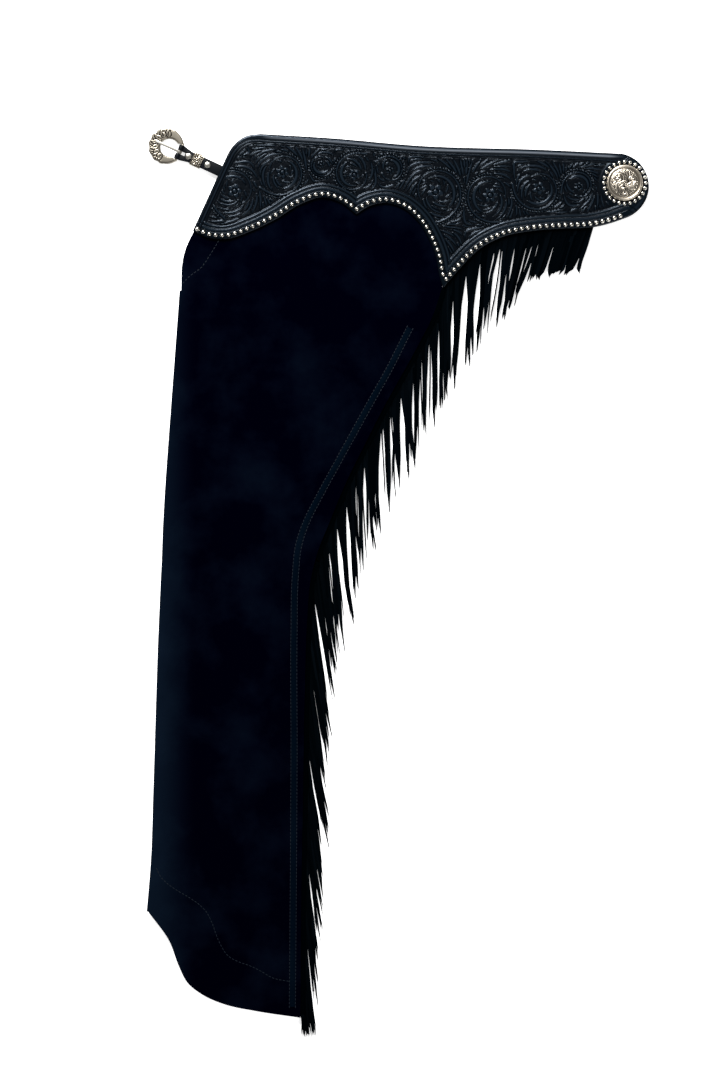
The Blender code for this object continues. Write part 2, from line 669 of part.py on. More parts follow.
def turned(name, profile, steps, material, location):
    """A turned piece: a profile, from its top down its outer side, spun round +Z."""
    mesh = bpy.data.meshes.new(name)
    mesh.from_pydata([(r, 0.0, z) for r, z in profile], [(i, i + 1) for i in range(len(profile) - 1)], [])
    obj = new_object(name, mesh, material, location)
    spin = obj.modifiers.new("turn", "SCREW")
    spin.axis = "Z"
    spin.steps = spin.render_steps = steps
    spin.use_merge_vertices = True
    spin.merge_threshold = 0.00001
    return obj


def arc(centre, radius, start_deg, end_deg, count):
    """Points along an arc."""
    return [(centre[0] + radius * math.cos(math.radians(a)), centre[1] + radius * math.sin(math.radians(a)))
            for a in np.linspace(start_deg, end_deg, count)]


def box_mesh(name, low, high):
    """A box between two corners."""
    size = [h - l for l, h in zip(low, high)]
    middle = [(l + h) / 2 for l, h in zip(low, high)]
    bm = bmesh.new()
    bmesh.ops.create_cube(bm, size=1.0, matrix=Matrix.Translation(middle) @ Matrix.Diagonal((*size, 1.0)))
    mesh = bpy.data.meshes.new(name)
    bm.to_mesh(mesh)
    bm.free()
    return mesh


def strap_height(station):
    """Height of the middle of the strap at a distance from the bar."""
    stations, heights = zip(*STRAP_COURSE)
    return float(np.interp(station, stations, heights))


def along_strap(station):
    """A place on the strap's centre line, at a distance from the bar."""
    angle = math.radians(STRAP_ANGLE_DEG)
    return (BAR_CENTRE[0] + station * math.cos(angle), BAR_CENTRE[1] + station * math.sin(angle))


def build_strap(pivot, leather):
    """The front strap: one side profile with the loop for the buckle's bar, slotted for the tongue."""
    loop = arc((0.0, 0.0), LOOP_OUTER_RADIUS, LOOP_MOUTH_DEG, 360.0 - LOOP_MOUTH_DEG, 19)
    half = STRAP_LEATHER / 2
    stations = sorted({x for x, _ in STRAP_COURSE} | {STRAP_FLARE_MIDDLE, STRAP_FLARE_END})
    course = [(x, strap_height(x) - BAR_Z) for x in stations]
    outline = loop + [(x, z - half) for x, z in course] + [(x, z + half) for x, z in reversed(course)]
    hole = arc((0.0, 0.0), LOOP_INNER_RADIUS, 360.0, 22.5, 16)
    mesh = extruded("front_strap", outline, 1.0, [hole])
    mesh.transform(Matrix.Rotation(math.pi / 2, 4, "X"))
    bm = bmesh.new()
    bm.from_mesh(mesh)
    for station in stations[:stations.index(STRAP_FLARE_END) + 1]:
        bmesh.ops.bisect_plane(bm, geom=[*bm.verts, *bm.edges, *bm.faces], plane_co=(station, 0.0, 0.0),
                               plane_no=(1.0, 0.0, 0.0))
    bmesh.ops.triangulate(bm, faces=bm.faces)
    for vertex in bm.verts:
        flare = 1.0 - smooth_step(vertex.co.x, LOOP_OUTER_RADIUS, STRAP_FLARE_END)
        vertex.co.y *= STRAP_HALF_WIDTH + (STRAP_LOOP_HALF_WIDTH - STRAP_HALF_WIDTH) * flare
    bm.to_mesh(mesh)
    bm.free()
    strap = new_object("front_strap", mesh, leather)
    strap.parent = pivot
    slot_mesh = box_mesh("tongue_slot", (-CUT_REACH, -STRAP_SLOT_HALF_WIDTH, -CUT_REACH),
                         (STRAP_SLOT_END, STRAP_SLOT_HALF_WIDTH, CUT_REACH))
    slot = new_cutter("tongue_slot", slot_mesh)
    slot.parent = pivot
    add_boolean(strap, slot, "DIFFERENCE")


def build_buckle(pivot, silver):
    """The buckle's frame, with its open eye and its bar, and the tongue that lies across the eye."""
    turns = np.linspace(0.0, 2.0 * math.pi, FRAME_POINTS, endpoint=False)
    outline = []
    for a in turns:
        ornate = smooth_step(-math.cos(a), ORNATE_FROM, ORNATE_FULL)
        wave = 0.5 + 0.5 * math.cos(FRAME_SCALLOPS * a)
        radius = FRAME_RADIUS * (1.0 + FRAME_SCALLOP * wave * ornate)
        outline.append((FRAME_CENTRE + radius * math.cos(a), radius * math.sin(a)))
    eye = [(EYE_CENTRE + EYE_HALF_LENGTH * math.cos(a), -EYE_HALF_WIDTH * math.sin(a))
           for a in np.linspace(0.0, 2.0 * math.pi, 24, endpoint=False)]
    tilt = math.radians(-FRAME_TILT_DEG)
    frame = new_object("buckle_frame", extruded("buckle_frame", outline, FRAME_THICKNESS / 2, [eye]), silver)
    low_x, high_x, half_y = EAR_NOTCH
    notch = new_cutter("ear_notch", box_mesh("ear_notch", (low_x, -half_y, -CUT_REACH),
                                             (high_x, half_y, CUT_REACH)))
    bm = bmesh.new()
    bmesh.ops.create_cone(bm, cap_ends=True, segments=12, radius1=BAR_RADIUS, radius2=BAR_RADIUS,
                          depth=2 * BAR_HALF_LENGTH, matrix=Matrix.Rotation(math.pi / 2, 4, "X"))
    bar_mesh = bpy.data.meshes.new("buckle_bar")
    bm.to_mesh(bar_mesh)
    bm.free()
    bar = new_cutter("buckle_bar", bar_mesh)
    add_boolean(frame, notch, "DIFFERENCE")
    add_boolean(frame, bar, "UNION")

    ring = arc((0.0, 0.0), TONGUE_RING_OUTER, *TONGUE_RING_ARC_DEG, 17)
    top = TONGUE_SEAT + TONGUE_THICKNESS
    below, rise = TONGUE_TIP_BELOW
    above, drop = TONGUE_TIP_ABOVE
    arm = [(TONGUE_SHOULDER, TONGUE_SEAT), (TONGUE_TIP + below, TONGUE_SEAT),
           (TONGUE_TIP, TONGUE_SEAT + rise), (TONGUE_TIP + above, top - drop), (TONGUE_SHOULDER, top)]
    hole = arc((0.0, 0.0), TONGUE_RING_INNER, 22.5, 360.0, 16)
    tongue_mesh = extruded("buckle_tongue", ring + arm, TONGUE_HALF_WIDTH, [hole])
    tongue_mesh.transform(Matrix.Rotation(math.pi / 2, 4, "X"))
    tongue = new_object("buckle_tongue", tongue_mesh, silver)
    for obj in (frame, notch, bar, tongue):
        obj.parent = pivot
        obj.rotation_euler = (0.0, tilt, 0.0)


def build_strap_fittings(silver, plain_metal):
    """The engraved keeper round the strap and the two screws on its face."""
    ends = (KEEPER_STATION - KEEPER_LENGTH / 2, KEEPER_STATION + KEEPER_LENGTH / 2)
    slope = math.atan2(strap_height(ends[1]) - strap_height(ends[0]), KEEPER_LENGTH)
    inner = (STRAP_HALF_WIDTH + KEEPER_SLACK, STRAP_LEATHER / 2 + KEEPER_SLACK)
    outer = (inner[0] + KEEPER_WALL, inner[1] + KEEPER_WALL)
    loops = [[(-w, -h), (w, -h), (w, h), (-w, h)] for w, h in (outer, inner)]
    mesh = extruded("strap_keeper", loops[0], KEEPER_LENGTH / 2, [loops[1][::-1]])
    mesh.transform(Matrix(((0.0, 0.0, 1.0, 0.0), (1.0, 0.0, 0.0, 0.0), (0.0, 1.0, 0.0, 0.0),
                           (0.0, 0.0, 0.0, 1.0))))
    keeper = new_object("strap_keeper", mesh, silver,
                        (*along_strap(KEEPER_STATION), strap_height(KEEPER_STATION)))
    keeper.rotation_euler = (0.0, -slope, math.radians(STRAP_ANGLE_DEG))
    head = [(SCREW_RADIUS * r, SCREW_HEIGHT * z) for r, z in SCREW_PROFILE]
    for name, station in SCREW_STATIONS.items():
        seat = max(strap_height(station - SCREW_RADIUS), strap_height(station + SCREW_RADIUS))
        turned(name, head, SCREW_STEPS, plain_metal,
               (*along_strap(station), seat + STRAP_LEATHER / 2 + TOUCH_GAP))


def build_hidden_pieces(leather):
    """What the folded garment must have between its yokes: the billet and the tie at the back."""
    length, width, thickness = BILLET_SIZE
    tip = arc((length / 2 - width / 2, 0.0), width / 2, -90.0, 90.0, 9)
    outline = [(-length / 2, -width / 2), *tip, (-length / 2, width / 2)]
    base = YOKE_LEATHER + TOUCH_GAP
    billet = new_object("billet_strap", extruded("billet_strap", outline, thickness / 2), leather,
                        (*BILLET_CENTRE, base + thickness / 2))
    billet.rotation_euler = (0.0, 0.0, math.radians(BILLET_ANGLE_DEG))
    half = [size / 2 for size in BACK_TIE_SIZE]
    new_object("back_tie", box_mesh("back_tie", [-h for h in half], half), leather,
               (*BACK_TIE_CENTRE, base + half[2]))


def stand_on_origin():
    """Move the whole part so that the middle of its footprint is the origin."""
    bpy.context.view_layer.update()
    graph = bpy.context.evaluated_depsgraph_get()
    corners = []
    for obj in bpy.data.collections[PART_NAME].objects:
        if obj.type != "MESH":
            continue
        mesh = obj.evaluated_get(graph).to_mesh()
        corners += [obj.matrix_world @ v.co for v in mesh.vertices]
    corners = np.array(corners)
    low, high = corners.min(axis=0), corners.max(axis=0)
    shift = Vector((-(low[0] + high[0]) / 2, -(low[1] + high[1]) / 2, -low[2]))
    for name in (PART_NAME, CUTTERS_NAME):
        for obj in bpy.data.collections[name].objects:
            if obj.parent is None:
                obj.location += shift
    bpy.context.view_layer.update()


def main():
    """Build every piece and stand the part on its origin."""
    clear_scene()
    new_collection(PART_NAME)
    new_collection(CUTTERS_NAME)
    suede = make_material("black_suede", "#0A0F18", 0.92)
    yoke_leather = make_material("tooled_black_leather", "#121B24", 0.48)
    strap_leather = make_material("smooth_black_leather", "#0B1018", 0.55)
    silver = make_material("engraved_silver", "#A79F93", 0.30, 1.0)
    plain_metal = make_material("polished_nickel", "#C9CCD0", 0.22, 1.0)

    build_leg("leg_far", False, suede)
    build_leg("leg_near", True, suede)
    build_yokes(yoke_leather)
    build_fringes(suede)
    turned("concho", CONCHO_PROFILE, CONCHO_STEPS, silver,
           (*CONCHO_CENTRE, NEAR_YOKE_Z + YOKE_LEATHER + TOUCH_GAP))
    pivot = bpy.data.objects.new("buckle_pivot", None)
    pivot.location = (*BAR_CENTRE, BAR_Z)
    pivot.rotation_euler = (0.0, 0.0, math.radians(STRAP_ANGLE_DEG))
    bpy.data.collections[PART_NAME].objects.link(pivot)
    build_strap(pivot, strap_leather)
    build_buckle(pivot, silver)
    build_strap_fittings(silver, plain_metal)
    build_hidden_pieces(strap_leather)
    stand_on_origin()


main()
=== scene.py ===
"""Fringed western show chaps in black suede, dressed for the photograph's view.

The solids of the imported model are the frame. Each piece here stands for one of them, with its own
finish: napped suede legs, tooled yokes with their studs, cut fringe and an engraved buckle set.
Sizes are in metres unless a name says mm.
"""

from __future__ import annotations

import json
import logging
import math
from dataclasses import dataclass, field
from enum import Enum
from typing import Callable

import bpy
import numpy as np
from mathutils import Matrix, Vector

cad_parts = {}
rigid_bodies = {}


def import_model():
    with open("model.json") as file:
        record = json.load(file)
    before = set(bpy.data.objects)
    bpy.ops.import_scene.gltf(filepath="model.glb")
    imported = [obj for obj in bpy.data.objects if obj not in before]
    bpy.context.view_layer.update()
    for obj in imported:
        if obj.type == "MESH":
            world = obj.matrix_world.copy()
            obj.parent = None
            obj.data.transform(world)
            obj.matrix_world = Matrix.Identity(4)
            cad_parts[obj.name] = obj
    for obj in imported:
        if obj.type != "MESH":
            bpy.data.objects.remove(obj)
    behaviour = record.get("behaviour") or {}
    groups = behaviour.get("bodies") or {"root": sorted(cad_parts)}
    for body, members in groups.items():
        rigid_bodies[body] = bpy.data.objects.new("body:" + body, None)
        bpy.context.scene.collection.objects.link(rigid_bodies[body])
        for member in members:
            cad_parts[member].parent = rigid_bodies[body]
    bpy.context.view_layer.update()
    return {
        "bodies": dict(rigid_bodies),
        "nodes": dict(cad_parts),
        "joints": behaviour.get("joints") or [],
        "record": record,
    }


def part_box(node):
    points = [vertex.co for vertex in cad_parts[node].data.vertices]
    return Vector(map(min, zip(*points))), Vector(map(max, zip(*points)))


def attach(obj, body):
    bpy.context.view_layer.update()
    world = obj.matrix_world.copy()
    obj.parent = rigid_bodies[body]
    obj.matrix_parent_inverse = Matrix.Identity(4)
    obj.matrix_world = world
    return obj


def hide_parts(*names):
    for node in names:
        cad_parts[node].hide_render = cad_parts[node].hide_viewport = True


LOG = logging.getLogger("chaps")
MM = 0.001
Points = np.ndarray


# Shared geometry

def distances_passed(path: Points) -> Points:
    """Distance along a polyline at each of its points."""
    return np.concatenate([[0.0], np.cumsum(np.linalg.norm(np.diff(path, axis=0), axis=1))])


def on_circle(turns: Points | float) -> Points:
    """Points of the unit circle at angles in radians."""
    return np.stack([np.cos(turns), np.sin(turns)], axis=-1)


def smooth_curve(points: Points, steps: int = 14) -> Points:
    """A curve through points whose tangents follow their neighbours' spacing.

    Args:
        points: The points, one a row.
        steps: Points made for each span.

    Returns:
        The curve's points.
    """
    points = np.asarray(points, float)
    knots = distances_passed(points)
    tangents = np.gradient(points, knots, axis=0)
    tangents[0] = (points[1] - points[0]) / (knots[1] - knots[0])
    tangents[-1] = (points[-1] - points[-2]) / (knots[-1] - knots[-2])
    t = np.linspace(0.0, 1.0, steps, endpoint=False)[:, None]
    curve = []
    for i, span in enumerate(np.diff(knots)):
        curve.append(
            (2 * t**3 - 3 * t**2 + 1) * points[i] + (t**3 - 2 * t**2 + t) * span * tangents[i]
            + (3 * t**2 - 2 * t**3) * points[i + 1] + (t**3 - t**2) * span * tangents[i + 1]
        )
    return np.vstack([*curve, points[-1:]])


def resample(path: Points, count: int) -> Points:
    """Evenly spaced points along a polyline.

    Args:
        path: The polyline's points.
        count: How many points to make.

    Returns:
        The new points, ends included.
    """
    path = np.asarray(path, float)
    lengths = distances_passed(path)
    stations = np.linspace(0.0, lengths[-1], count)
    return np.column_stack([np.interp(stations, lengths, column) for column in path.T])


def path_length(path: Points) -> float:
    """Length of a polyline."""
    return float(np.linalg.norm(np.diff(path, axis=0), axis=1).sum())


def left_normals(path: Points) -> Points:
    """Unit normals to the left of a polyline's direction."""
    tangents = np.gradient(path, axis=0)
    tangents /= np.linalg.norm(tangents, axis=1, keepdims=True)
    return np.column_stack([-tangents[:, 1], tangents[:, 0]])


def smooth_step(value: Points, low: float, high: float) -> Points:
    """0 below low, 1 above high, and a soft ramp between them."""
    t = np.clip((value - low) / (high - low), 0.0, 1.0)
    return t * t * (3.0 - 2.0 * t)


def along_and_across(points: Points, path: Points) -> tuple[Points, Points]:
    """Where points lie beside a polyline.

    Args:
        points: The points, one a row.
        path: The polyline's points.

    Returns:
        The share of the path's length passed, and the signed distance, left of the path positive.
    """
    starts, spans = path[:-1], np.diff(path, axis=0)
    lengths = np.linalg.norm(spans, axis=1)
    # Runs that meet repeat their shared point
    real = lengths > 0.0
    starts, spans, lengths = starts[real], spans[real], lengths[real]
    begun = np.concatenate([[0.0], np.cumsum(lengths)])
    shares, distances = [], []
    for chunk in np.array_split(points, max(1, len(points) // 4000)):
        offsets = chunk[:, None, :] - starts
        t = np.clip((offsets * spans).sum(-1) / lengths**2, 0.0, 1.0)
        gaps = offsets - t[..., None] * spans
        squares = (gaps * gaps).sum(-1)
        best = squares.argmin(axis=1)
        rows = np.arange(len(chunk))
        gap, span = gaps[rows, best], spans[best]
        side = np.sign(span[:, 0] * gap[:, 1] - span[:, 1] * gap[:, 0])
        shares.append((begun[best] + t[rows, best] * lengths[best]) / begun[-1])
        distances.append(np.where(side == 0, 1.0, side) * np.sqrt(squares[rows, best]))
    return np.concatenate(shares), np.concatenate(distances)


def inside(points: Points, outline: Points) -> Points:
    """Whether each point lies inside a closed outline."""
    x1, y1 = outline[:, 0], outline[:, 1]
    x2, y2 = np.roll(x1, -1), np.roll(y1, -1)
    rise = np.where(y2 == y1, 1.0, y2 - y1)
    found = []
    for chunk in np.array_split(points, max(1, len(points) // 4000)):
        x, y = chunk[:, 0, None], chunk[:, 1, None]
        crosses = ((y1 > y) != (y2 > y)) & (x < (x2 - x1) * (y - y1) / rise + x1)
        found.append(crosses.sum(axis=1) % 2 == 1)
    return np.concatenate(found)


# Shared modelling steps

OUTWARDS = ("normals_make_consistent", {"inside": False})
FLIPPED = ("flip_normals", {})
MERGED = ("remove_doubles", {"threshold": 0.00001})
FILLED = ("fill_holes", {"sides": 0})


def deselect_all() -> None:
    """Leave no object selected."""
    for obj in bpy.context.selected_objects:
        obj.select_set(False)


def activate(obj: bpy.types.Object, *others: bpy.types.Object) -> None:
    """Select one object, and others with it, and make it the active one."""
    deselect_all()
    for each in (obj, *others):
        each.select_set(True)
    bpy.context.view_layer.objects.active = obj


def join(target: bpy.types.Object, *others: bpy.types.Object) -> None:
    """Merge other objects into the first one."""
    activate(target, *others)
    bpy.ops.object.join()


def link_new(name: str, data: bpy.types.ID) -> bpy.types.Object:
    """A new object in the scene for some data."""
    obj = bpy.data.objects.new(name, data)
    bpy.context.scene.collection.objects.link(obj)
    return obj


def get_coordinates(obj: bpy.types.Object) -> Points:
    """The vertices of a mesh object, one a row."""
    flat = np.empty(len(obj.data.vertices) * 3)
    obj.data.vertices.foreach_get("co", flat)
    return flat.reshape(-1, 3)


def set_coordinates(obj: bpy.types.Object, places: Points) -> None:
    """Move the vertices of a mesh object."""
    obj.data.vertices.foreach_set("co", np.asarray(places, np.float32).ravel())
    obj.data.update()


def set_attribute(obj: bpy.types.Object, name: str, values: Points) -> None:
    """Store one number, or one vector, for each vertex.

    Args:
        obj: The mesh object.
        name: The attribute's name.
        values: One row for each vertex.
    """
    values = np.asarray(values, np.float32)
    kind, key = ("FLOAT", "value") if values.ndim == 1 else ("FLOAT_VECTOR", "vector")
    attribute = obj.data.attributes.new(name, kind, "POINT")
    attribute.data.foreach_set(key, values.ravel())


def add_primitive(kind: str, **settings: object) -> bpy.types.Object:
    """Add one of Blender's mesh primitives, by its name in bpy.ops.mesh."""
    deselect_all()
    getattr(bpy.ops.mesh, f"primitive_{kind}_add")(**settings)
    return bpy.context.active_object


def new_grid(name: str, columns: int, rows: int, place: Callable[[Points, Points], Points]) -> bpy.types.Object:
    """A grid laid onto a surface.

    Args:
        name: The object's name.
        columns: Faces across the grid.
        rows: Faces along it.
        place: Gives the places of grid points from their two shares, each from 0 to 1.

    Returns:
        The new object.
    """
    obj = add_primitive("grid", x_subdivisions=columns, y_subdivisions=rows, size=1.0)
    obj.name = obj.data.name = name
    shares = get_coordinates(obj)[:, :2] + 0.5
    set_coordinates(obj, place(shares[:, 0], shares[:, 1]))
    return obj


def edit(obj: bpy.types.Object, *steps: tuple[str, dict]) -> None:
    """Run mesh operators on the whole of one object.

    Args:
        obj: The mesh object.
        steps: Each operator's name in bpy.ops.mesh, with its settings.
    """
    activate(obj)
    bpy.ops.object.mode_set(mode="EDIT")
    bpy.ops.mesh.select_mode(type="VERT")
    for name, settings in steps:
        bpy.ops.mesh.select_all(action="SELECT")
        getattr(bpy.ops.mesh, name)(**settings)
    bpy.ops.object.mode_set(mode="OBJECT")


def apply_modifier(obj: bpy.types.Object, kind: str, **settings: object) -> None:
    """Add one modifier to an object and apply it.

    Args:
        obj: The mesh object.
        kind: The modifier's type.
        settings: Its settings by name.
    """
    modifier = obj.modifiers.new(kind.lower(), kind)
    for name, value in settings.items():
        setattr(modifier, name, value)
    activate(obj)
    bpy.ops.object.modifier_apply(modifier=modifier.name)


def face_up(obj: bpy.types.Object) -> None:
    """Turn a sheet's faces all one way, upwards."""
    edit(obj, OUTWARDS)
    if obj.data.polygons[0].normal.z < 0.0:
        edit(obj, FLIPPED)


def drop_rim(obj: bpy.types.Object, height: float) -> None:
    """Extrude the border of a sheet down to a height, as the wall of its edge."""
    activate(obj)
    bpy.ops.object.mode_set(mode="EDIT")
    bpy.ops.mesh.select_mode(type="EDGE")
    bpy.ops.mesh.select_all(action="SELECT")
    bpy.ops.mesh.region_to_loop()
    bpy.ops.mesh.extrude_edges_move()
    bpy.ops.object.mode_set(mode="OBJECT")
    picked = np.empty(len(obj.data.vertices), bool)
    obj.data.vertices.foreach_get("select", picked)
    places = get_coordinates(obj)
    places[picked, 2] = height
    set_coordinates(obj, places)


def thicken(obj: bpy.types.Object, thickness: float) -> None:
    """Give a sheet its wall, behind the side that it shows."""
    apply_modifier(obj, "SOLIDIFY", thickness=thickness, offset=-1.0, use_even_offset=False)


def copies_of(name: str, template: bpy.types.Object, placed: list[Points],
              tags: dict[str, list] | None = None) -> bpy.types.Object:
    """One mesh of many copies of a template, which is removed.

    Args:
        name: The new object's name.
        template: The shape that repeats.
        placed: For each copy, where the template's vertices lie.
        tags: Attributes by name, each with one number for each copy.

    Returns:
        The joined object.
    """
    faces = [list(face.vertices) for face in template.data.polygons]
    count = len(template.data.vertices)
    every = [[count * copy + vertex for vertex in face] for copy in range(len(placed)) for face in faces]
    mesh = bpy.data.meshes.new(name)
    mesh.from_pydata(np.vstack(placed).tolist(), [], every)
    obj = link_new(name, mesh)
    for tag, numbers in (tags or {}).items():
        set_attribute(obj, tag, np.repeat(np.asarray(numbers, float), count))
    bpy.data.objects.remove(template, do_unlink=True)
    return obj


# Finishes

def linear(code: str) -> tuple[float, float, float, float]:
    """Linear RGBA of an sRGB hex colour."""
    channels = [int(code[i:i + 2], 16) / 255 for i in (1, 3, 5)]
    red, green, blue = (c / 12.92 if c <= 0.04045 else ((c + 0.055) / 1.055) ** 2.4 for c in channels)
    return (red, green, blue, 1.0)


def fill(tree: bpy.types.NodeTree, node: bpy.types.Node, inputs: dict) -> None:
    """Link a node's inputs to the sockets given for them, and set the others to their values.

    Args:
        tree: The material's node tree.
        node: The node.
        inputs: Values or sockets by the input's name or number.
    """
    for key, value in inputs.items():
        if isinstance(value, bpy.types.NodeSocket):
            tree.links.new(value, node.inputs[key])
        else:
            node.inputs[key].default_value = value


def add_node(tree: bpy.types.NodeTree, kind: str, inputs: dict | None = None,
             **settings: object) -> bpy.types.Node:
    """Add one node with its settings and links.

    Args:
        tree: The material's node tree.
        kind: The node's type, without its ShaderNode prefix.
        inputs: Values or sockets by the input's name or number.
        settings: The node's own settings.

    Returns:
        The new node.
    """
    node = tree.nodes.new("ShaderNode" + kind)
    for name, value in settings.items():
        if name == "stops":
            ramp = node.color_ramp
            for index, (place, colour) in enumerate(value):
                stop = ramp.elements[index] if index < 2 else ramp.elements.new(place)
                stop.position = place
                stop.color = colour
        else:
            setattr(node, name, value)
    fill(tree, node, inputs or {})
    return node


@dataclass(frozen=True)
class Finish:
    """A finish with a Principled shader, which each kind fills in."""

    name: str = "finish"

    def build(self) -> bpy.types.Material:
        """Make the material.

        Returns:
            The material with its nodes.
        """
        material = bpy.data.materials.new(self.name)
        material.use_nodes = True
        self.dress(material.node_tree, material.node_tree.nodes["Principled BSDF"])
        return material

    def dress(self, tree: bpy.types.NodeTree, shader: bpy.types.Node) -> None:
        """Add the finish's own nodes.

        Args:
            tree: The material's node tree.
            shader: Its Principled shader.
        """
        raise NotImplementedError


@dataclass(frozen=True)
class NappedSuede(Finish):
    """Black suede, a split hide buffed on the flesh side: matt, with a soft bluish nap."""

    name: str = "black_suede"
    shade: str = "#000005"
    # Colour of the brushed nap patches, also used for the painted light along the front roll
    brushed_and_painted_light: str = "#09121D"
    nap_mm: float = 0.9
    patch_mm: float = 70.0

    def dress(self, tree: bpy.types.NodeTree, shader: bpy.types.Node) -> None:
        """Brushed patches and a painted light band along the front roll in the colour, and a short nap in the bump.
        """
        where = add_node(tree, "TexCoord").outputs["Object"]
        # Broad patches where the nap was stroked another way, which look lighter and bluer
        patches = add_node(tree, "TexNoise", {"Vector": where, "Scale": 1 / (self.patch_mm * MM),
                                              "Detail": 4.0, "Roughness": 0.55})
        # Short fibres
        nap = add_node(tree, "TexNoise", {"Vector": where, "Scale": 1 / (self.nap_mm * MM), "Detail": 2.0})
        # Painted light: the front of the leg is painted lighter along its soft roll, where it would catch more light
        across = add_node(tree, "SeparateXYZ", {0: where}).outputs["X"]
        front = add_node(tree, "MapRange", {"Value": across, "From Min": -0.235, "From Max": -0.290, "To Max": 0.75},
                         interpolation_type="SMOOTHSTEP")
        lightened = add_node(tree, "MapRange", {"Value": patches.outputs["Fac"], "From Min": 0.46, "From Max": 0.80,
                                           "To Max": 0.42})
        both = add_node(tree, "Math", {0: front.outputs["Result"], 1: lightened.outputs["Result"]}, operation="ADD",
                        use_clamp=True)
        speck = add_node(tree, "Math", {0: nap.outputs["Fac"], 1: 0.35, 2: 0.75}, operation="MULTIPLY_ADD")
        amount = add_node(tree, "Math", {0: both.outputs[0], 1: speck.outputs[0]}, operation="MULTIPLY")
        colour = add_node(tree, "Mix", {0: amount.outputs[0], 6: linear(self.shade), 7: linear(self.brushed_and_painted_light)},
                          data_type="RGBA")
        bump = add_node(tree, "Bump", {"Height": nap.outputs["Fac"], "Strength": 0.35, "Distance": 0.4 * MM})
        fill(tree, shader, {
            "Base Color": colour.outputs[2], "Normal": bump.outputs["Normal"], "Roughness": 0.95,
            "Specular IOR Level": 0.0, "Sheen Weight": 0.006, "Sheen Roughness": 0.5,
            "Sheen Tint": linear("#7D9CC8")})


@dataclass(frozen=True)
class CutFringe(Finish):
    """The same suede cut into strands: each takes the dye a little differently."""

    name: str = "suede_fringe"
    shade: str = "#000102"
    light: str = "#030609"
    fibres_per_m: float = 1100.0

    def dress(self, tree: bpy.types.NodeTree, shader: bpy.types.Node) -> None:
        """A tone for each strand and a short nap."""
        where = add_node(tree, "TexCoord").outputs["Object"]
        tone = add_node(tree, "Attribute", attribute_name="strand_tone")
        nap = add_node(tree, "TexNoise", {"Vector": where, "Scale": self.fibres_per_m, "Detail": 2.0})
        colour = add_node(tree, "Mix", {0: tone.outputs["Fac"], 6: linear(self.shade), 7: linear(self.light)},
                          data_type="RGBA")
        bump = add_node(tree, "Bump", {"Height": nap.outputs["Fac"], "Strength": 0.3, "Distance": 0.3 * MM})
        fill(tree, shader, {"Base Color": colour.outputs[2], "Normal": bump.outputs["Normal"],
                            "Roughness": 0.9, "Specular IOR Level": 0.0})


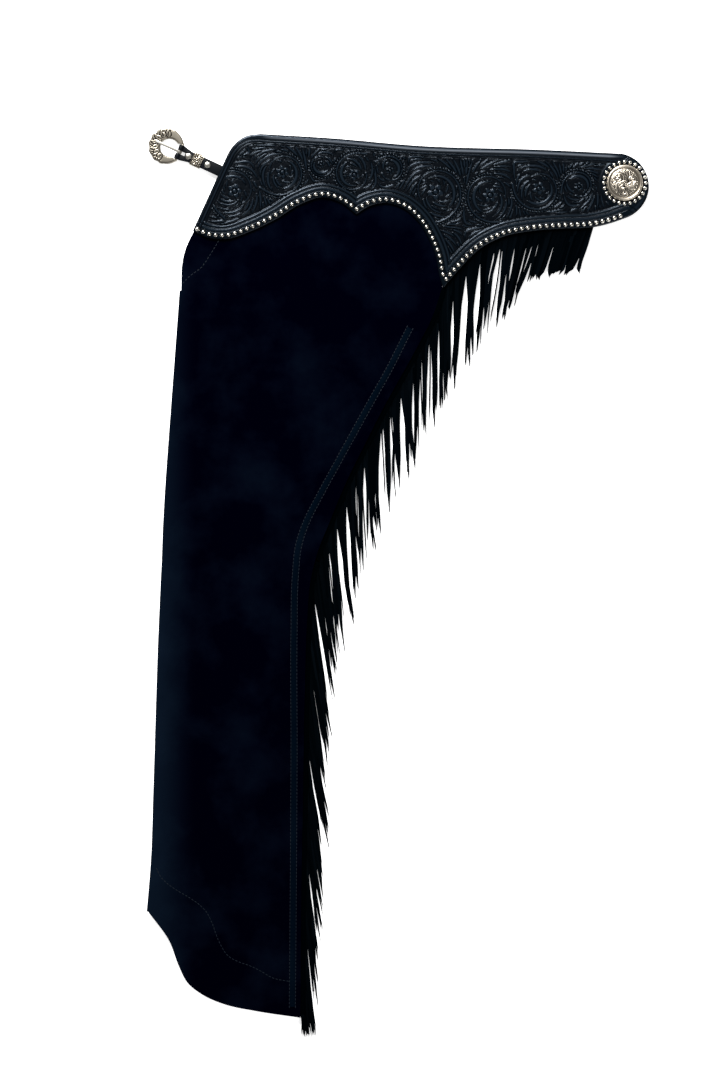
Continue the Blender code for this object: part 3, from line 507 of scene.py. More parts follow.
@dataclass(frozen=True)
class TooledLeather(Finish):
    """Vegetable tanned leather, carved, dyed black and waxed: glossy ridges, dull matted ground."""

    name: str = "tooled_leather"
    # Colours by depth: dye in the low ground with painted shade, a middle tone, and a painted highlight on the
    # ridges
    ground: str = "#000103"
    plain: str = "#02060B"
    ridge_and_painted_highlight: str = "#0E151C"
    # Colour of the painted highlight along the rolled top edge
    lightened: str = "#656B73"
    grain_mm: float = 0.8
    matting_mm: float = 1.5
    # Tooled lines that follow the lower edge, and the top and front edges: their distances from them
    lower_lines_mm: tuple[float, float] = (7.5, 12.6)
    upper_lines_mm: tuple[float, float] = (7.6, 10.0)

    def dress(self, tree: bpy.types.NodeTree, shader: bpy.types.Node) -> None:
        """Depth of the carving in the colour, as dye with painted shade low down and a painted highlight on the
        ridges, with a painted highlight along the top edge; border lines in the colour and the bump, grain and
        matting in the bump.
        """
        where = add_node(tree, "TexCoord").outputs["Object"]
        depth = add_node(tree, "Attribute", attribute_name="depth_mm").outputs["Fac"]
        edges = add_node(tree, "Attribute", attribute_name="edges_mm").outputs["Vector"]
        sides = add_node(tree, "SeparateXYZ", {0: edges}).outputs
        lines = None
        for side, marks in ((sides["X"], self.lower_lines_mm), (sides["Y"], self.upper_lines_mm)):
            for mark in marks:
                off = add_node(tree, "Math", {0: side, 1: mark}, operation="SUBTRACT")
                near = add_node(tree, "Math", {0: off.outputs[0]}, operation="ABSOLUTE")
                cut = add_node(tree, "MapRange", {"Value": near.outputs[0], "From Min": 0.95, "From Max": 0.25},
                               interpolation_type="SMOOTHSTEP").outputs["Result"]
                lines = cut if lines is None else add_node(tree, "Math", {0: lines, 1: cut},
                                                           operation="MAXIMUM").outputs[0]
        # Dye pools in the low ground, painted darker as painted shade, and the ridges are painted lighter as a
        # painted highlight
        colour = add_node(tree, "ValToRGB", {"Fac": add_node(
            tree, "MapRange", {"Value": depth, "From Min": -0.8, "From Max": 0.5}).outputs["Result"]},
            stops=[(0.0, linear(self.ground)), (1.0, linear(self.ridge_and_painted_highlight)), (0.6, linear(self.plain))])
        # The border's tooled lines take the ground's dark colour: dye with painted shade in their cuts
        lined = add_node(tree, "Mix", {0: lines, 6: colour.outputs["Color"], 7: linear(self.ground)},
                         data_type="RGBA")
        # A painted highlight: the rolled top edge is painted a paler line where its bead would catch the light
        rolled = add_node(tree, "Attribute", attribute_name="lightened").outputs["Fac"]
        tone = add_node(tree, "Mix", {0: rolled, 6: lined.outputs[2], 7: linear(self.lightened)}, data_type="RGBA")
        grain = add_node(tree, "TexVoronoi", {"Vector": where, "Scale": 1 / (self.grain_mm * MM)})
        matting = add_node(tree, "TexVoronoi", {"Vector": where, "Scale": 1 / (self.matting_mm * MM)},
                           feature="SMOOTH_F1")
        low = add_node(tree, "MapRange", {"Value": depth, "From Min": -0.45, "From Max": -0.7, "To Max": 0.4})
        stamped = add_node(tree, "Math", {0: matting.outputs["Distance"], 1: low.outputs["Result"]},
                           operation="MULTIPLY")
        fine = add_node(tree, "Math", {0: grain.outputs["Distance"], 1: 0.05, 2: stamped.outputs[0]},
                        operation="MULTIPLY_ADD")
        height = add_node(tree, "Math", {0: fine.outputs[0], 1: lines}, operation="SUBTRACT")
        bump = add_node(tree, "Bump", {"Height": height.outputs[0], "Strength": 0.8, "Distance": 0.45 * MM})
        rough = add_node(tree, "MapRange", {"Value": depth, "From Min": -0.6, "From Max": 0.1,
                                            "To Min": 0.30, "To Max": 0.22})
        fill(tree, shader, {
            "Base Color": tone.outputs[2], "Roughness": rough.outputs["Result"],
            "Normal": bump.outputs["Normal"], "Specular IOR Level": 0.19, "Specular Tint": linear("#C8D8EA")})


@dataclass(frozen=True)
class StrapLeather(Finish):
    """Smooth harness leather, dyed through and burnished: a low even gloss and a fine pebble grain."""

    name: str = "strap_leather"
    dark: str = "#010205"
    light: str = "#04080E"
    pebbles_per_m: float = 1500.0
    scuffs_per_m: float = 160.0

    def dress(self, tree: bpy.types.NodeTree, shader: bpy.types.Node) -> None:
        """Fine pebble grain and faint scuffs."""
        where = add_node(tree, "TexCoord").outputs["Object"]
        grain = add_node(tree, "TexVoronoi", {"Vector": where, "Scale": self.pebbles_per_m})
        scuffs = add_node(tree, "TexNoise", {"Vector": where, "Scale": self.scuffs_per_m, "Detail": 5.0})
        colour = add_node(tree, "Mix", {0: scuffs.outputs["Fac"], 6: linear(self.dark), 7: linear(self.light)},
                          data_type="RGBA")
        bump = add_node(tree, "Bump", {"Height": grain.outputs["Distance"], "Strength": 0.25,
                                       "Distance": 0.2 * MM})
        fill(tree, shader, {"Base Color": colour.outputs[2], "Normal": bump.outputs["Normal"],
                            "Roughness": 0.45, "Specular IOR Level": 0.1})


@dataclass(frozen=True)
class EngravedSilver(Finish):
    """Silver plate over nickel, hand engraved and antiqued: warm bright ridges, dark cuts."""

    name: str = "engraved_silver"
    bright: str = "#B5AC9E"
    cut: str = "#1E1914"
    roughness: float = 0.34
    wear_per_m: float = 900.0

    def dress(self, tree: bpy.types.NodeTree, shader: bpy.types.Node) -> None:
        """Blackened recesses by the depth of the cut, and fine wear."""
        where = add_node(tree, "TexCoord").outputs["Object"]
        depth = add_node(tree, "Attribute", attribute_name="depth_mm").outputs["Fac"]
        wear = add_node(tree, "TexNoise", {"Vector": where, "Scale": self.wear_per_m, "Detail": 4.0})
        shift = add_node(tree, "Math", {0: wear.outputs["Fac"], 1: 0.1, 2: depth}, operation="MULTIPLY_ADD")
        amount = add_node(tree, "MapRange", {"Value": shift.outputs[0], "From Min": -0.32, "From Max": -0.02},
                          interpolation_type="SMOOTHSTEP")
        colour = add_node(tree, "Mix", {0: amount.outputs["Result"], 6: linear(self.cut),
                                        7: linear(self.bright)}, data_type="RGBA")
        bump = add_node(tree, "Bump", {"Height": wear.outputs["Fac"], "Strength": 0.12, "Distance": 0.1 * MM})
        fill(tree, shader, {"Base Color": colour.outputs[2], "Normal": bump.outputs["Normal"],
                            "Metallic": 1.0, "Roughness": self.roughness})


@dataclass(frozen=True)
class PolishedMetal(Finish):
    """Nickel silver, tumbled and polished: a clean bright reflection."""

    name: str = "polished_metal"
    colour: str = "#BDBAB2"
    roughness: float = 0.26
    peel_per_m: float = 700.0

    def dress(self, tree: bpy.types.NodeTree, shader: bpy.types.Node) -> None:
        """A near mirror with a faint orange peel."""
        where = add_node(tree, "TexCoord").outputs["Object"]
        peel = add_node(tree, "TexNoise", {"Vector": where, "Scale": self.peel_per_m, "Detail": 1.0})
        bump = add_node(tree, "Bump", {"Height": peel.outputs["Fac"], "Strength": 0.06, "Distance": 0.1 * MM})
        fill(tree, shader, {"Base Color": linear(self.colour), "Normal": bump.outputs["Normal"],
                            "Metallic": 1.0, "Roughness": self.roughness})


@dataclass(frozen=True)
class WaxedThread(Finish):
    """Bonded polyester thread, waxed: slightly lighter than the leather that it sews."""

    name: str = "waxed_thread"
    colour: str = "#08111A"
    twists_per_m: float = 900.0

    def dress(self, tree: bpy.types.NodeTree, shader: bpy.types.Node) -> None:
        """The twist of the thread in the bump."""
        where = add_node(tree, "TexCoord").outputs["Object"]
        twist = add_node(tree, "TexWave", {"Vector": where, "Scale": self.twists_per_m},
                         bands_direction="DIAGONAL")
        bump = add_node(tree, "Bump", {"Height": twist.outputs["Fac"], "Strength": 0.3, "Distance": 0.1 * MM})
        fill(tree, shader, {"Base Color": linear(self.colour), "Normal": bump.outputs["Normal"],
                            "Roughness": 0.6, "Specular IOR Level": 0.15})


@dataclass(frozen=True)
class LightTable(Finish):
    """Opal acrylic lit from below, as for cut-out pictures: white, matt and free of shadows."""

    name: str = "opal_table"
    glow: float = 0.72

    def dress(self, tree: bpy.types.NodeTree, shader: bpy.types.Node) -> None:
        """A matt white with an even glow."""
        fill(tree, shader, {"Base Color": linear("#FBFBFB"), "Roughness": 0.9, "Specular IOR Level": 0.1,
                            "Emission Color": linear("#FFFFFF"), "Emission Strength": self.glow})


def dress(obj: bpy.types.Object, sharp_deg: float, material: bpy.types.Material, slot: str, body: str,
          *nodes: str) -> bpy.types.Object:
    """Finish a piece: its shading, material, body and the solids it stands for.

    Args:
        obj: The piece.
        sharp_deg: Edges sharper than this aren't shaded smooth.
        material: Its finish.
        slot: The record's material slot, which is not used.
        body: The body that it rides on.
        nodes: The CAD nodes that it replaces.

    Returns:
        The piece.
    """
    activate(obj)
    bpy.ops.object.shade_smooth_by_angle(angle=math.radians(sharp_deg))
    obj.data.materials.clear()
    obj.data.materials.append(material)
    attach(obj, body)
    if nodes:
        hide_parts(*nodes)
    LOG.info("%s: %d faces", obj.name, len(obj.data.polygons))
    return obj


# The yoke's pattern

@dataclass
class YokePattern:
    """Outline of the yoke as it was cut, on the part's own table, and where its metal goes."""

    shift: Points
    lower_front: list = field(default_factory=lambda: [
        (-0.239, 0.4095), (-0.221, 0.4015), (-0.200, 0.4000), (-0.171, 0.4092), (-0.142, 0.4232),
        (-0.113, 0.4407), (-0.087, 0.4487), (-0.066, 0.4427), (-0.048, 0.4290)])
    lower_middle: list = field(default_factory=lambda: [
        (-0.048, 0.4290), (-0.032, 0.4387), (-0.014, 0.4422), (0.008, 0.4355), (0.0245, 0.4210),
        (0.037, 0.4005), (0.0452, 0.3800), (0.0494, 0.3580), (0.054, 0.3425)])
    lower_back: list = field(default_factory=lambda: [
        (0.054, 0.3425), (0.0772, 0.3695), (0.098, 0.3893), (0.1255, 0.4032), (0.156, 0.4092),
        (0.193, 0.4122), (0.226, 0.4138), (0.248, 0.4185), (0.2692, 0.4258)])
    back_centre: tuple[float, float] = (0.256, 0.462)
    back_radius: float = 0.0385
    back_arc_deg: tuple[float, float] = (-70.0, 80.0)
    top: list = field(default_factory=lambda: [
        (0.2627, 0.4999), (0.167, 0.5045), (0.027, 0.5090), (-0.078, 0.5180), (-0.160, 0.5230)])
    front_corner: list = field(default_factory=lambda: [
        (-0.160, 0.5230), (-0.176, 0.5205), (-0.188, 0.5130), (-0.196, 0.5030), (-0.201, 0.4930)])
    step: float = 0.0008
    stud_pitch: float = 0.0074
    stud_inset: float = 0.0042
    spot_count: int = 24
    spot_ring: float = 0.0244
    concho: tuple[float, float] = (0.266, 0.4655)

    def lower_runs(self) -> list[Points]:
        """The three scallops of the lower edge, from the front."""
        return [smooth_curve(run) + self.shift for run in (self.lower_front, self.lower_middle, self.lower_back)]

    def sides(self) -> dict[str, Points]:
        """The closed outline's runs: lower, back, top and front.

        Returns:
            A polyline for each side, each begun where the last one ends.
        """
        runs = self.lower_runs()
        start, end = (math.radians(angle) for angle in self.back_arc_deg)
        back = on_circle(np.linspace(start, end, 60)) * self.back_radius + self.back_centre + self.shift
        top = smooth_curve(self.top) + self.shift
        corner = smooth_curve(self.front_corner) + self.shift
        sides = {
            "lower": np.vstack([runs[0], runs[1][1:], runs[2][1:]]),
            "back": back,
            "top": np.vstack([back[-1:], top[1:]]),
            "front": np.vstack([corner, runs[0][:1]]),
        }
        return {name: resample(run, max(3, round(path_length(run) / self.step))) for name, run in sides.items()}

    def studs(self) -> Points:
        """Centres of the studs along the lower edge."""
        lower = np.vstack([self.sides()["front"], self.sides()["lower"]])
        places = []
        for run in self.lower_runs():
            line = run + self.stud_inset * left_normals(run)
            gap = np.abs(along_and_across(line, lower)[1])
            line = line[gap > 0.985 * self.stud_inset]
            places.extend(resample(line, round(path_length(line) / self.stud_pitch) + 1)[:-1])
        return np.array(places)

    def spots(self) -> Points:
        """Centres of the spots round the concho."""
        turns = np.linspace(0.0, 2.0 * math.pi, self.spot_count, endpoint=False)
        return on_circle(turns) * self.spot_ring + self.concho + self.shift


class Carving:
    """Relief of cuts and rounded forms, in mm above a face.

    It holds the heights of a set of points, and each form that is carved changes those near it. Later
    forms lie over earlier ones.
    """

    def __init__(self, points_mm: Points, ground: float = -0.75, cut: float = -1.0, line_mm: float = 1.0) -> None:
        """Start with a sunk ground.

        Args:
            points_mm: The points, in mm.
            ground: Its height.
            cut: Height of the cuts round the forms.
            line_mm: Their width.
        """
        self.points = points_mm
        self.cut, self.line = cut, line_mm
        self.heights = np.full(len(points_mm), ground)

    def close_to(self, course: Points, reach: float) -> Points:
        """Numbers of the points in the box round a course."""
        low, high = course.min(axis=0) - reach, course.max(axis=0) + reach
        return np.flatnonzero(((self.points > low) & (self.points < high)).all(axis=1))

    def lay(self, near: Points, gap: Points, form: Points) -> None:
        """Put a form in the relief, with a cut round it.

        Args:
            near: Numbers of the points that it may touch.
            gap: Their distance outside the form, negative inside it.
            form: Their height on the form.
        """
        here = self.heights[near]
        ring = (gap > 0) & (gap < self.line)
        here[ring] = np.minimum(here[ring], self.cut + 0.4 * (gap[ring] / self.line) ** 2)
        here[gap <= 0] = form[gap <= 0]
        self.heights[near] = here

    def stem(self, course: Points, start_mm: float, end_mm: float) -> None:
        """A rounded vine.

        Args:
            course: Its middle line.
            start_mm: Half its width where it starts.
            end_mm: Half its width where it ends.
        """
        near = self.close_to(course, start_mm + self.line)
        along, across = along_and_across(self.points[near], course)
        half = start_mm + (end_mm - start_mm) * along
        u = np.abs(across) / half
        ends = (along <= 0) | (along >= 1)
        gap = np.where(ends & (np.abs(across) > 0.8 * half), self.line, np.abs(across) - half)
        self.lay(near, gap, 0.55 * (1 - u**2) - 0.05)

    def leaf(self, course: Points, half_mm: float, vein: bool = False) -> None:
        """A slender leaf, rounded across and pointed at its tip.

        Args:
            course: Its middle, from the base to the tip.
            half_mm: Half its greatest width.
            vein: Whether it is cut along its middle.
        """
        near = self.close_to(course, half_mm + self.line)
        if not len(near):
            return
        along, across = along_and_across(self.points[near], course)
        half = half_mm * np.clip(np.sin(math.pi * np.clip(along, 0, 1) ** 0.75), 0, 1) ** 0.6 + 0.01
        u = np.abs(across) / half
        form = 0.62 * (1 - u**2) - 0.15 + 0.10 * along
        if vein:
            form -= 0.45 * np.exp(-(across / 0.5) ** 2) * (1 - along)
        ends = (along <= 0) | (along >= 1)
        self.lay(near, np.where(ends, self.line, np.abs(across) - half), form)

    def seed(self, centre: Points, radius_mm: float) -> None:
        """A round seed."""
        near = self.close_to(np.atleast_2d(centre), radius_mm + self.line)
        gap = np.linalg.norm(self.points[near] - centre, axis=1)
        self.lay(near, gap - radius_mm, 0.55 * np.sqrt(np.clip(1 - (gap / radius_mm) ** 2, 0, 1)) - 0.1)

    def flower(self, centre: Points, radius_mm: float, petals: int, turn: float) -> None:
        """A small open flower with a seeded heart.

        Args:
            centre: Its middle.
            radius_mm: Its radius.
            petals: How many petals it has.
            turn: Its turn in radians.
        """
        near = self.close_to(np.atleast_2d(centre), radius_mm + self.line)
        offsets = self.points[near] - centre
        gap = np.linalg.norm(offsets, axis=1)
        phase = np.cos(petals * (np.arctan2(offsets[:, 1], offsets[:, 0]) - turn))
        edge = radius_mm * (0.84 + 0.16 * phase)
        form = 0.45 * np.sin(np.clip(gap / edge, 0, 1) * math.pi) ** 0.6 + 0.05
        form -= 0.6 * np.exp(-((1 + phase) / 0.16) ** 2) * smooth_step(gap, 0.25 * radius_mm, 0.5 * radius_mm)
        self.lay(near, gap - edge, form)
        self.seed(np.asarray(centre, float), 0.30 * radius_mm)


def arc_course(base: Points, heading: float, length: float, bend: float) -> Points:
    """A course of constant bend.

    Args:
        base: Where it starts.
        heading: Its first direction, in radians.
        length: Its length.
        bend: How far it turns over its length, in radians.

    Returns:
        Its points.
    """
    shares = np.linspace(0, 1, 14)
    turn = heading + bend * (shares[:-1] + shares[1:]) / 2
    steps = on_circle(turn) * length / (len(shares) - 1)
    return np.vstack([base, base + np.cumsum(steps, axis=0)])


@dataclass
class ScrollCarving:
    """Scrolls that end in flowers, with long leaves between them: a traditional floral pattern.

    It is laid out for this yoke. Neighbouring scrolls turn opposite ways, and the leaves follow the
    flow round them, as close together as they fit.
    """

    # Scrolls from the front to the back: x, y, radius, petals of the flower, start of the stem in degrees
    scrolls: list = field(default_factory=lambda: [
        (-190.0, 456.0, 29.0, 5, 250.0), (-134.0, 478.0, 27.0, 6, 215.0), (-89.0, 487.0, 15.0, 5, 20.0),
        (-50.0, 475.0, 24.0, 5, 60.0), (-8.0, 480.0, 17.0, 6, 150.0), (45.0, 455.0, 33.0, 5, 255.0),
        (109.0, 451.0, 30.0, 6, 300.0), (166.0, 459.0, 27.0, 5, 170.0), (213.0, 461.0, 19.0, 6, 200.0)])
    # Leaves in the order that they are cut: spacing, shortest, longest and half width in mm
    leaves: list = field(default_factory=lambda: [
        (4.1, 17.0, 38.0, 1.60), (3.7, 9.0, 24.0, 1.35), (3.0, 4.5, 12.0, 1.05)])
    tries: int = 5000
    step_mm: float = 1.4
    turns: float = 0.86
    stem_mm: float = 1.5
    seed_mm: float = 1.35
    # Size of the cells that say where the field is
    cell_mm: float = 1.6
    courses: list = field(default_factory=list)

    def flow(self, spot: Points) -> Points:
        """Direction of the leaves at a point: out of the nearest scroll, and round it."""
        rows = np.array([row[:3] for row in self.scrolls])
        offsets = spot - rows[:, :2]
        reach = np.linalg.norm(offsets, axis=1) + 0.01
        share = reach / rows[:, 2]
        sides = np.where(np.arange(len(rows)) % 2, 1.0, -1.0)
        lean = sides * np.radians(np.where(share < 1.0, 42 + 33 * share, 75 - 40 * np.clip(share - 1.0, 0.0, 1.0)))
        out = offsets / reach[:, None]
        turned = out * np.cos(lean)[:, None] + np.column_stack([-out[:, 1], out[:, 0]]) * np.sin(lean)[:, None]
        total = (turned * share[:, None] ** -5.0).sum(axis=0)
        return total / np.linalg.norm(total)

    def spiral(self, number: int) -> Points:
        """The course of one scroll's stem, from its outer end."""
        x, y, radius, _, start = self.scrolls[number]
        shares = np.linspace(0.0, 1.0, 90)
        turn = math.radians(start) + (1.0 if number % 2 else -1.0) * 2 * math.pi * self.turns * shares
        reach = radius * (1.18 - 0.36 * shares**0.5 - 0.24 * shares)
        return (x, y) + on_circle(turn) * reach[:, None]

    def crescent(self, number: int) -> Points:
        """The course of the long leaf along the inside of one scroll's stem."""
        middle = np.array(self.scrolls[number][:2])
        return middle + (self.spiral(number)[16:66] - middle) * 0.74

    def seeds(self, number: int) -> Points:
        """Centres of the seeds along the outside of one scroll's stem."""
        spiral = self.spiral(number)
        out = spiral - self.scrolls[number][:2]
        out /= np.linalg.norm(out, axis=1, keepdims=True)
        line = (spiral + out * (self.stem_mm + self.seed_mm + 0.3))[4:62]
        return resample(line, round(path_length(line) / (2.5 * self.seed_mm)))

    def lay_out(self, relief: Carving, free: Points) -> list:
        """Find where the leaves fit.

        Args:
            relief: The relief, for its points.
            free: Whether each point lies in the field.

        Returns:
            The middle line and the half width of each leaf.
        """
        chance = np.random.default_rng(5)
        cells = {tuple(spot) for spot in np.round(relief.points[free] / self.cell_mm).astype(int)}
        taken = np.full((60000, 2), 1e6)
        count = 0

        def blocked(spot: Points, room: float) -> bool:
            return (tuple(np.round(spot / self.cell_mm).astype(int)) not in cells
                    or ((taken[:count] - spot) ** 2).sum(axis=1).min() < room**2)

        for number, (x, y, radius, *_) in enumerate(self.scrolls):
            ring = (x, y) + on_circle(np.linspace(0, 2 * math.pi, 40)) * 0.28 * radius
            for course in (self.spiral(number), self.crescent(number), self.seeds(number), ring):
                taken[count:count + len(course)] = course
                count += len(course)
        found = []
        low, high = relief.points[free].min(axis=0), relief.points[free].max(axis=0)
        for gap, shortest, longest, half in self.leaves:
            for start in chance.uniform(low, high, (self.tries, 2)):
                if blocked(start, gap):
                    continue
                course = [start]
                for way in (1.0, -1.0):
                    spot = start
                    for _ in range(round(longest / 2 / self.step_mm)):
                        spot = spot + way * self.step_mm * self.flow(spot)
                        if blocked(spot, 0.62 * gap):
                            break
                        course.append(spot)
                    course.reverse()
                course = np.array(course)
                if path_length(course) < shortest:
                    continue
                taken[count:count + len(course)] = course
                count += len(course)
                found.append((course, half))
        LOG.info("carving: %d leaves", len(found))
        return found

    def carve(self, relief: Carving, free: Points) -> None:
        """Cut the whole pattern into the relief.

        Args:
            relief: The relief.
            free: Whether each of its points lies in the field.
        """
        # Both yokes carry the same leaves
        self.courses = self.courses or self.lay_out(relief, free)
        for course, half in self.courses:
            relief.leaf(course, half)
        for number, (x, y, radius, petals, _) in enumerate(self.scrolls):
            relief.stem(self.spiral(number), self.stem_mm, 0.6 * self.stem_mm)
            relief.leaf(self.crescent(number), 1.4 * self.stem_mm)
            for spot in self.seeds(number):
                relief.seed(spot, self.seed_mm)
            relief.flower(np.array([x, y]), 0.30 * radius, petals, 0.7 * number)


class Face(Enum):
    """Which leg a piece belongs to, and so which way its outer side faces."""

    NEAR = 1.0
    FAR = -1.0


@dataclass
class YokePanel:
    """One yoke: a tooled panel with a rolled top edge."""

    pattern: YokePattern
    face: Face
    carving: ScrollCarving
    thickness: float = 0.0030
    pitch: float = 0.00074
    field_in_mm: tuple[float, float] = (16.6, 11.6)
    # The upper border narrows round the front corner: x on the table where it starts and ends
    corner_x: tuple[float, float] = (-0.200, -0.150)
    # The top edge's painted highlight line: its distance from the edge and half width in mm, and the x on the table
    # between which the painted highlight grows stronger
    highlight_line_mm: tuple[float, float] = (4.1, 0.9)
    highlight_line_x: tuple[float, float] = (-0.190, 0.010)
    # The bead along the top: its distance from the edge and half width in mm
    bead_mm: tuple[float, float] = (3.4, 1.9)
    # Rounded ridges between the border's lines: their side, the side that ends them, distance, half width
    ridges: tuple = (("lower", "front", 10.0, 1.7), ("lower", "front", 14.7, 1.3), ("border", "lower", 8.8, 1.0))
    ridge_mm: float = 0.42
    # The carving fades out round the concho: from and to these distances from its middle, in mm
    clear_of_concho_mm: tuple[float, float] = (27.0, 31.0)
    cut: tuple[float, float] = (0.535, 0.181)
    cut_area: float = 0.0450

    def build(self, material: bpy.types.Material) -> bpy.types.Object:
        """Make the panel.

        Args:
            material: Its finish.

        Returns:
            The panel.
        """
        name = f"yoke_{self.face.name.lower()}"
        low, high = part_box(name)
        sides = self.pattern.sides()
        outline = np.vstack([run[:-1] for run in sides.values()])
        corner, size = outline.min(axis=0) - self.pitch, np.ptp(outline, axis=0) + 2 * self.pitch
        columns, rows = (round(length / self.pitch) for length in size)

        def place(u: Points, v: Points) -> Points:
            return np.column_stack([corner[0] + u * size[0], corner[1] + v * size[1], np.zeros(len(u))])

        panel = new_grid(f"{name}_tooled", columns, rows, place)
        self.trim(panel, outline)
        flat = get_coordinates(panel)[:, :2]
        gaps = {side: np.abs(along_and_across(flat, run)[1]) / MM for side, run in sides.items()}
        # Distance from the front and the top, stretched so that their border's lines meet round the corner
        turn = smooth_step(flat[:, 0] - self.pattern.shift[0], *self.corner_x)
        first, second = 3.6 + 4.0 * turn, 7.2 + 2.8 * turn
        gaps["border"] = 7.6 + (np.minimum(gaps["front"], gaps["top"]) - first) * 2.4 / (second - first)
        height = self.relief(flat, gaps)
        if self.face is Face.NEAR:
            z = low.z + self.thickness + height * MM
        else:
            z = high.z - self.thickness + (height.max() - height) * MM
        set_coordinates(panel, np.column_stack([flat, z]))
        set_attribute(panel, "depth_mm", height)
        set_attribute(panel, "edges_mm", np.column_stack([gaps["lower"], gaps["border"], gaps["back"]]))
        # Painted highlight along the rolled top edge: a paler line where the bead would catch the light, fading at
        # its ends and weaker towards the front
        ends = smooth_step(np.minimum(gaps["front"], gaps["back"]) - gaps["top"], -2.0, 12.0)
        highlight_fade = 0.35 + 0.65 * smooth_step(flat[:, 0] - self.pattern.shift[0], *self.highlight_line_x)
        middle, half = self.highlight_line_mm
        set_attribute(panel, "lightened", np.exp(-((gaps["top"] - middle) / half) ** 2) * ends * highlight_fade)
        # The rim turns down to the back, which one flat face closes
        drop_rim(panel, low.z if self.face is Face.NEAR else high.z)
        edit(panel, FILLED, OUTWARDS)
        dress(panel, 50.0, material, "tooled_leather", "chaps", name)
        return panel

    def trim(self, panel: bpy.types.Object, outline: Points) -> None:
        """Cut the grid to the outline and draw its border onto it."""
        keep = inside(get_coordinates(panel)[:, :2], outline)
        activate(panel)
        bpy.ops.object.mode_set(mode="EDIT")
        bpy.ops.mesh.select_mode(type="VERT")
        bpy.ops.mesh.select_all(action="DESELECT")
        bpy.ops.object.mode_set(mode="OBJECT")
        panel.data.vertices.foreach_set("select", ~keep)
        bpy.ops.object.mode_set(mode="EDIT")
        bpy.ops.mesh.delete(type="VERT")
        bpy.ops.object.mode_set(mode="OBJECT")
        edit(panel, ("delete_loose", {}))
        places = get_coordinates(panel)
        edge_faces = np.zeros(len(panel.data.edges), int)
        loops = np.empty(len(panel.data.loops), int)
        panel.data.loops.foreach_get("edge_index", loops)
        np.add.at(edge_faces, loops, 1)
        ends = np.empty(2 * len(panel.data.edges), int)
        panel.data.edges.foreach_get("vertices", ends)
        border = np.unique(ends.reshape(-1, 2)[edge_faces < 2])
        ring = np.vstack([outline, outline[:1]])
        fine = resample(ring, 4 * len(ring))
        for number in border:
            gap = ((fine - places[number, :2]) ** 2).sum(axis=1)
            places[number, :2] = fine[gap.argmin()]
        set_coordinates(panel, places)

    def relief(self, flat: Points, gaps: dict[str, Points]) -> Points:
        """Heights of the face in mm.

        Args:
            flat: The points of the face.
            gaps: Their distances from each side of the outline, in mm.

        Returns:
            The heights.
        """
        lower, upper = self.field_in_mm
        room = np.minimum.reduce([gaps["lower"] - lower, gaps["border"] - upper, gaps["back"] - upper])
        from_concho = np.linalg.norm(flat - self.pattern.concho - self.pattern.shift, axis=1) / MM
        share = smooth_step(room, -0.4, 0.4) * smooth_step(from_concho, *self.clear_of_concho_mm)
        cut = Carving((flat - self.pattern.shift) / MM)
        self.carving.carve(cut, (room > 0.9) & (from_concho > self.clear_of_concho_mm[1]))
        # The field lies below the border, whose cut line frames it
        ends = smooth_step(gaps["back"], 4.0, 14.0)
        heights = share * cut.heights - 0.5 * np.exp(-(room / 0.7) ** 2) * ends
        for side, other, middle, half in self.ridges:
            off = (gaps[side] - middle) / half
            heights += (self.ridge_mm * np.clip(1 - off**2, 0, 1) * (1 - share) * ends
                        * smooth_step(gaps[other], 5.0, 9.0))
        # A rolled bead along the top, lower where it turns down the front and round the back
        edge = np.minimum.reduce([gaps["top"], gaps["front"], gaps["back"]])
        middle, half = self.bead_mm
        bead = np.sqrt(np.clip(1 - ((edge - middle) / half) ** 2, 0, 1))
        heights += bead * (0.25 + 0.55 * smooth_step(np.minimum(gaps["front"], gaps["back"]) - gaps["top"], -4, 14)
                           ) * smooth_step(gaps["lower"], 4.0, 9.0)
        # Burnished edges
        rim = np.minimum(edge, gaps["lower"])
        return heights - 0.9 * (1 - smooth_step(rim, 0.0, 1.6)) ** 2


@dataclass
class MetalDomes:
    """Round-headed studs along the yoke's lower edge and spots round its concho."""

    pattern: YokePattern
    # Radius and height of a stud and of a spot
    stud: tuple[float, float] = (0.0027, 0.0023)
    spot: tuple[float, float] = (0.0025, 0.0021)
    # Height of the face that they sit on
    base: float = 0.0099
    sides: int = 12

    def build(self, material: bpy.types.Material) -> bpy.types.Object:
        """Set every dome on the yoke's face.

        Args:
            material: Their finish.

        Returns:
            The domes as one piece.
        """
        dome = add_primitive("uv_sphere", segments=self.sides, ring_count=6, radius=1.0)
        edit(dome, ("bisect", {"plane_co": (0, 0, -0.15), "plane_no": (0, 0, 1), "clear_inner": True,
                               "use_fill": True}))
        shape = get_coordinates(dome)
        placed = [shape * (radius, radius, height) + (*place, self.base)
                  for places, (radius, height) in ((self.pattern.studs(), self.stud),
                                                   (self.pattern.spots(), self.spot))
                  for place in places]
        domes = copies_of("yoke_studs", dome, placed)
        return dress(domes, 60.0, material, "nickel", "chaps")


# The legs

